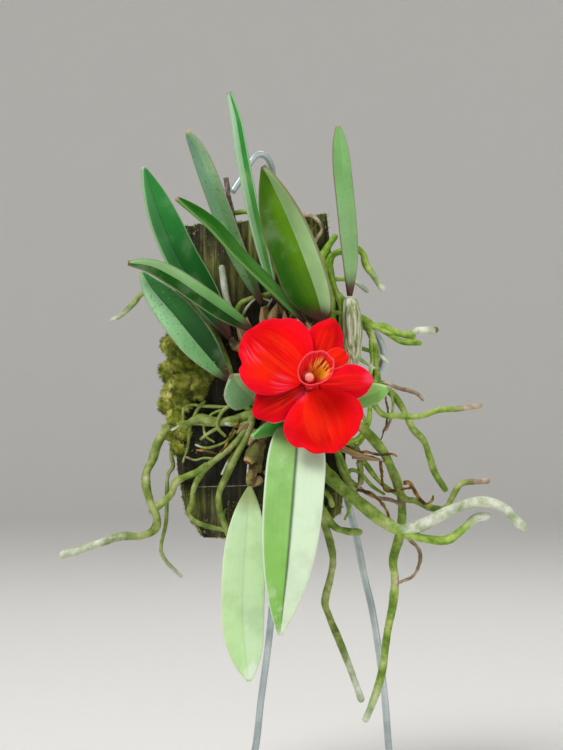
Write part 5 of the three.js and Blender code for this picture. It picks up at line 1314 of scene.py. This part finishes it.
lip_material, tree, shader, place = finish_of("lip_skin", Roughness=0.45, Specular_IOR_Level=0.15,
                                              Subsurface_Weight=0.1, Subsurface_Scale=0.0015)
uv = node(tree, "ShaderNodeUVMap", uv_map="UVMap").outputs["UV"]
flat = node(tree, "ShaderNodeSeparateXYZ", {"Vector": uv})
throat = node(tree, "ShaderNodeAttribute", attribute_name="inside").outputs["Fac"]
rays = stretched_noise(tree, uv, (40, 1.2, 1), 1, 2)
outside = ramp(tree, rays, ((0.35, "d8040c"), (0.55, "f41016"), (0.7, "ff3a34")))
glow = ramp(tree, rays, ((0.4, "ec0c1c"), (0.6, "f82c34")))
level = node(tree, "ShaderNodeVectorMath", {0: place, 1: (1, 0, 1)}, operation="MULTIPLY").outputs["Vector"]

# Marks in the throat: a pixel of the photograph, and how far each is full and where it has faded.
THROAT_MARKS = {"fan": (320, 369, 2.6, 5.6), "gold": (320, 373, 1.2, 3), "rose": (308, 377, 1.4, 3)}


def around(across, down, inner, outer):
    """How near a point of the throat is to a pixel of the photograph, fading between two distances."""
    centre = seen(across, down, FLOWER_DEPTH)
    return band(tree, distance_to(tree, level, (centre.x, 0, centre.z)), outer * MM, inner * MM)


fanned = around(*THROAT_MARKS["fan"])
glow = blend(tree, math_of(tree, "MULTIPLY", fanned, band(tree, rays, 0.5, 0.56, 0, 0.95)), glow, "ffdc58")
glow = blend(tree, math_of(tree, "MULTIPLY", fanned, band(tree, rays, 0.47, 0.42, 0, 0.85)), glow, "7c080c")
glow = blend(tree, around(*THROAT_MARKS["gold"]), glow, "ffc828")
glow = blend(tree, around(*THROAT_MARKS["rose"]), glow, "ff9c84")
skin = blend(tree, throat, outside, glow)
skin = blend(tree, band(tree, flat.outputs["Y"], 0.95, 0.999, 0, 0.7), skin, "ff5c68")
tree.links.new(skin, shader.inputs["Base Color"])
bumped(tree, shader, rays, 0.4, 0.0005)
lip_cup = piece("lip_cup", cup_mesh, lip_material)
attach(lip_cup, "root")
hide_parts("lip")
tongue = piece("lip_tongue", blade("lip_tongue", 16, 20, tongue_place),
               petal_finish("lip_tongue_skin", "e81006", "ff1a06", "ff6a48"))
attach(tongue, "root")

# The column: the waxy pinkish-cream post in the lip's throat, with a rounded cap at its end.

COLUMN_ROUTE = [(0, 1.2, 0), (-0.2, 2, 3.25), (-0.4, 2.9, 6.5)]

column_base = seen(*FLOWER_MIDDLE, FLOWER_DEPTH) + Vector((0, -LIP_BACK - LIP_CUP["wall"] - 0.3, 0)) * MM
column_points = [column_base + Vector((right, -forward, up)) * MM for right, up, forward in COLUMN_ROUTE]
column_line = bend_through(column_points, 8)
column_thick = [MM * (1.1 + 0.8 * math.sin(2.2 * i / 16)) for i in range(len(column_line))]
column_line += [column_line[-1] + Vector((-0.05, -0.4, 0.05)) * MM,
                column_line[-1] + Vector((-0.1, -0.7, 0.1)) * MM]
column_thick += [1.4 * MM, 0.7 * MM]
column_material, tree, shader, place = finish_of("column_wax", Roughness=0.38, Subsurface_Weight=0.2,
                                                 Subsurface_Scale=0.001)
column_tone = ramp(tree, noise_of(tree, place, 420), ((0.35, "f47c74"), (0.5, "fa9684"), (0.7, "ffb89c")))
tree.links.new(column_tone, shader.inputs["Base Color"])
column = piece("column_post", rods("column", [(column_line, column_thick)], 16), column_material)
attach(column, "root")
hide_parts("column")

# The tie: a clear thin thread drawn tight across the slab's face, of which a short stretch shows between
# the roots.

TIE = [(198, 487, -11.4), (214, 486.5, -11.5), (232, 486, -11.5), (246, 485.5, -11.5), (262, 485, -11.4)]

tie_line = bend_through([seen(*p) for p in TIE], 6)
tie_material, tree, shader, place = finish_of("tie_thread", Roughness=0.2)
thread_tone = ramp(tree, noise_of(tree, place, 700, 2), ((0.4, "8a8670"), (0.6, "c2bea4")))
tree.links.new(thread_tone, shader.inputs["Base Color"])
tie = piece("tie_thread", rods("tie_thread", [(tie_line, [0.12 * MM] * len(tie_line))], 6), tie_material)
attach(tie, "root")
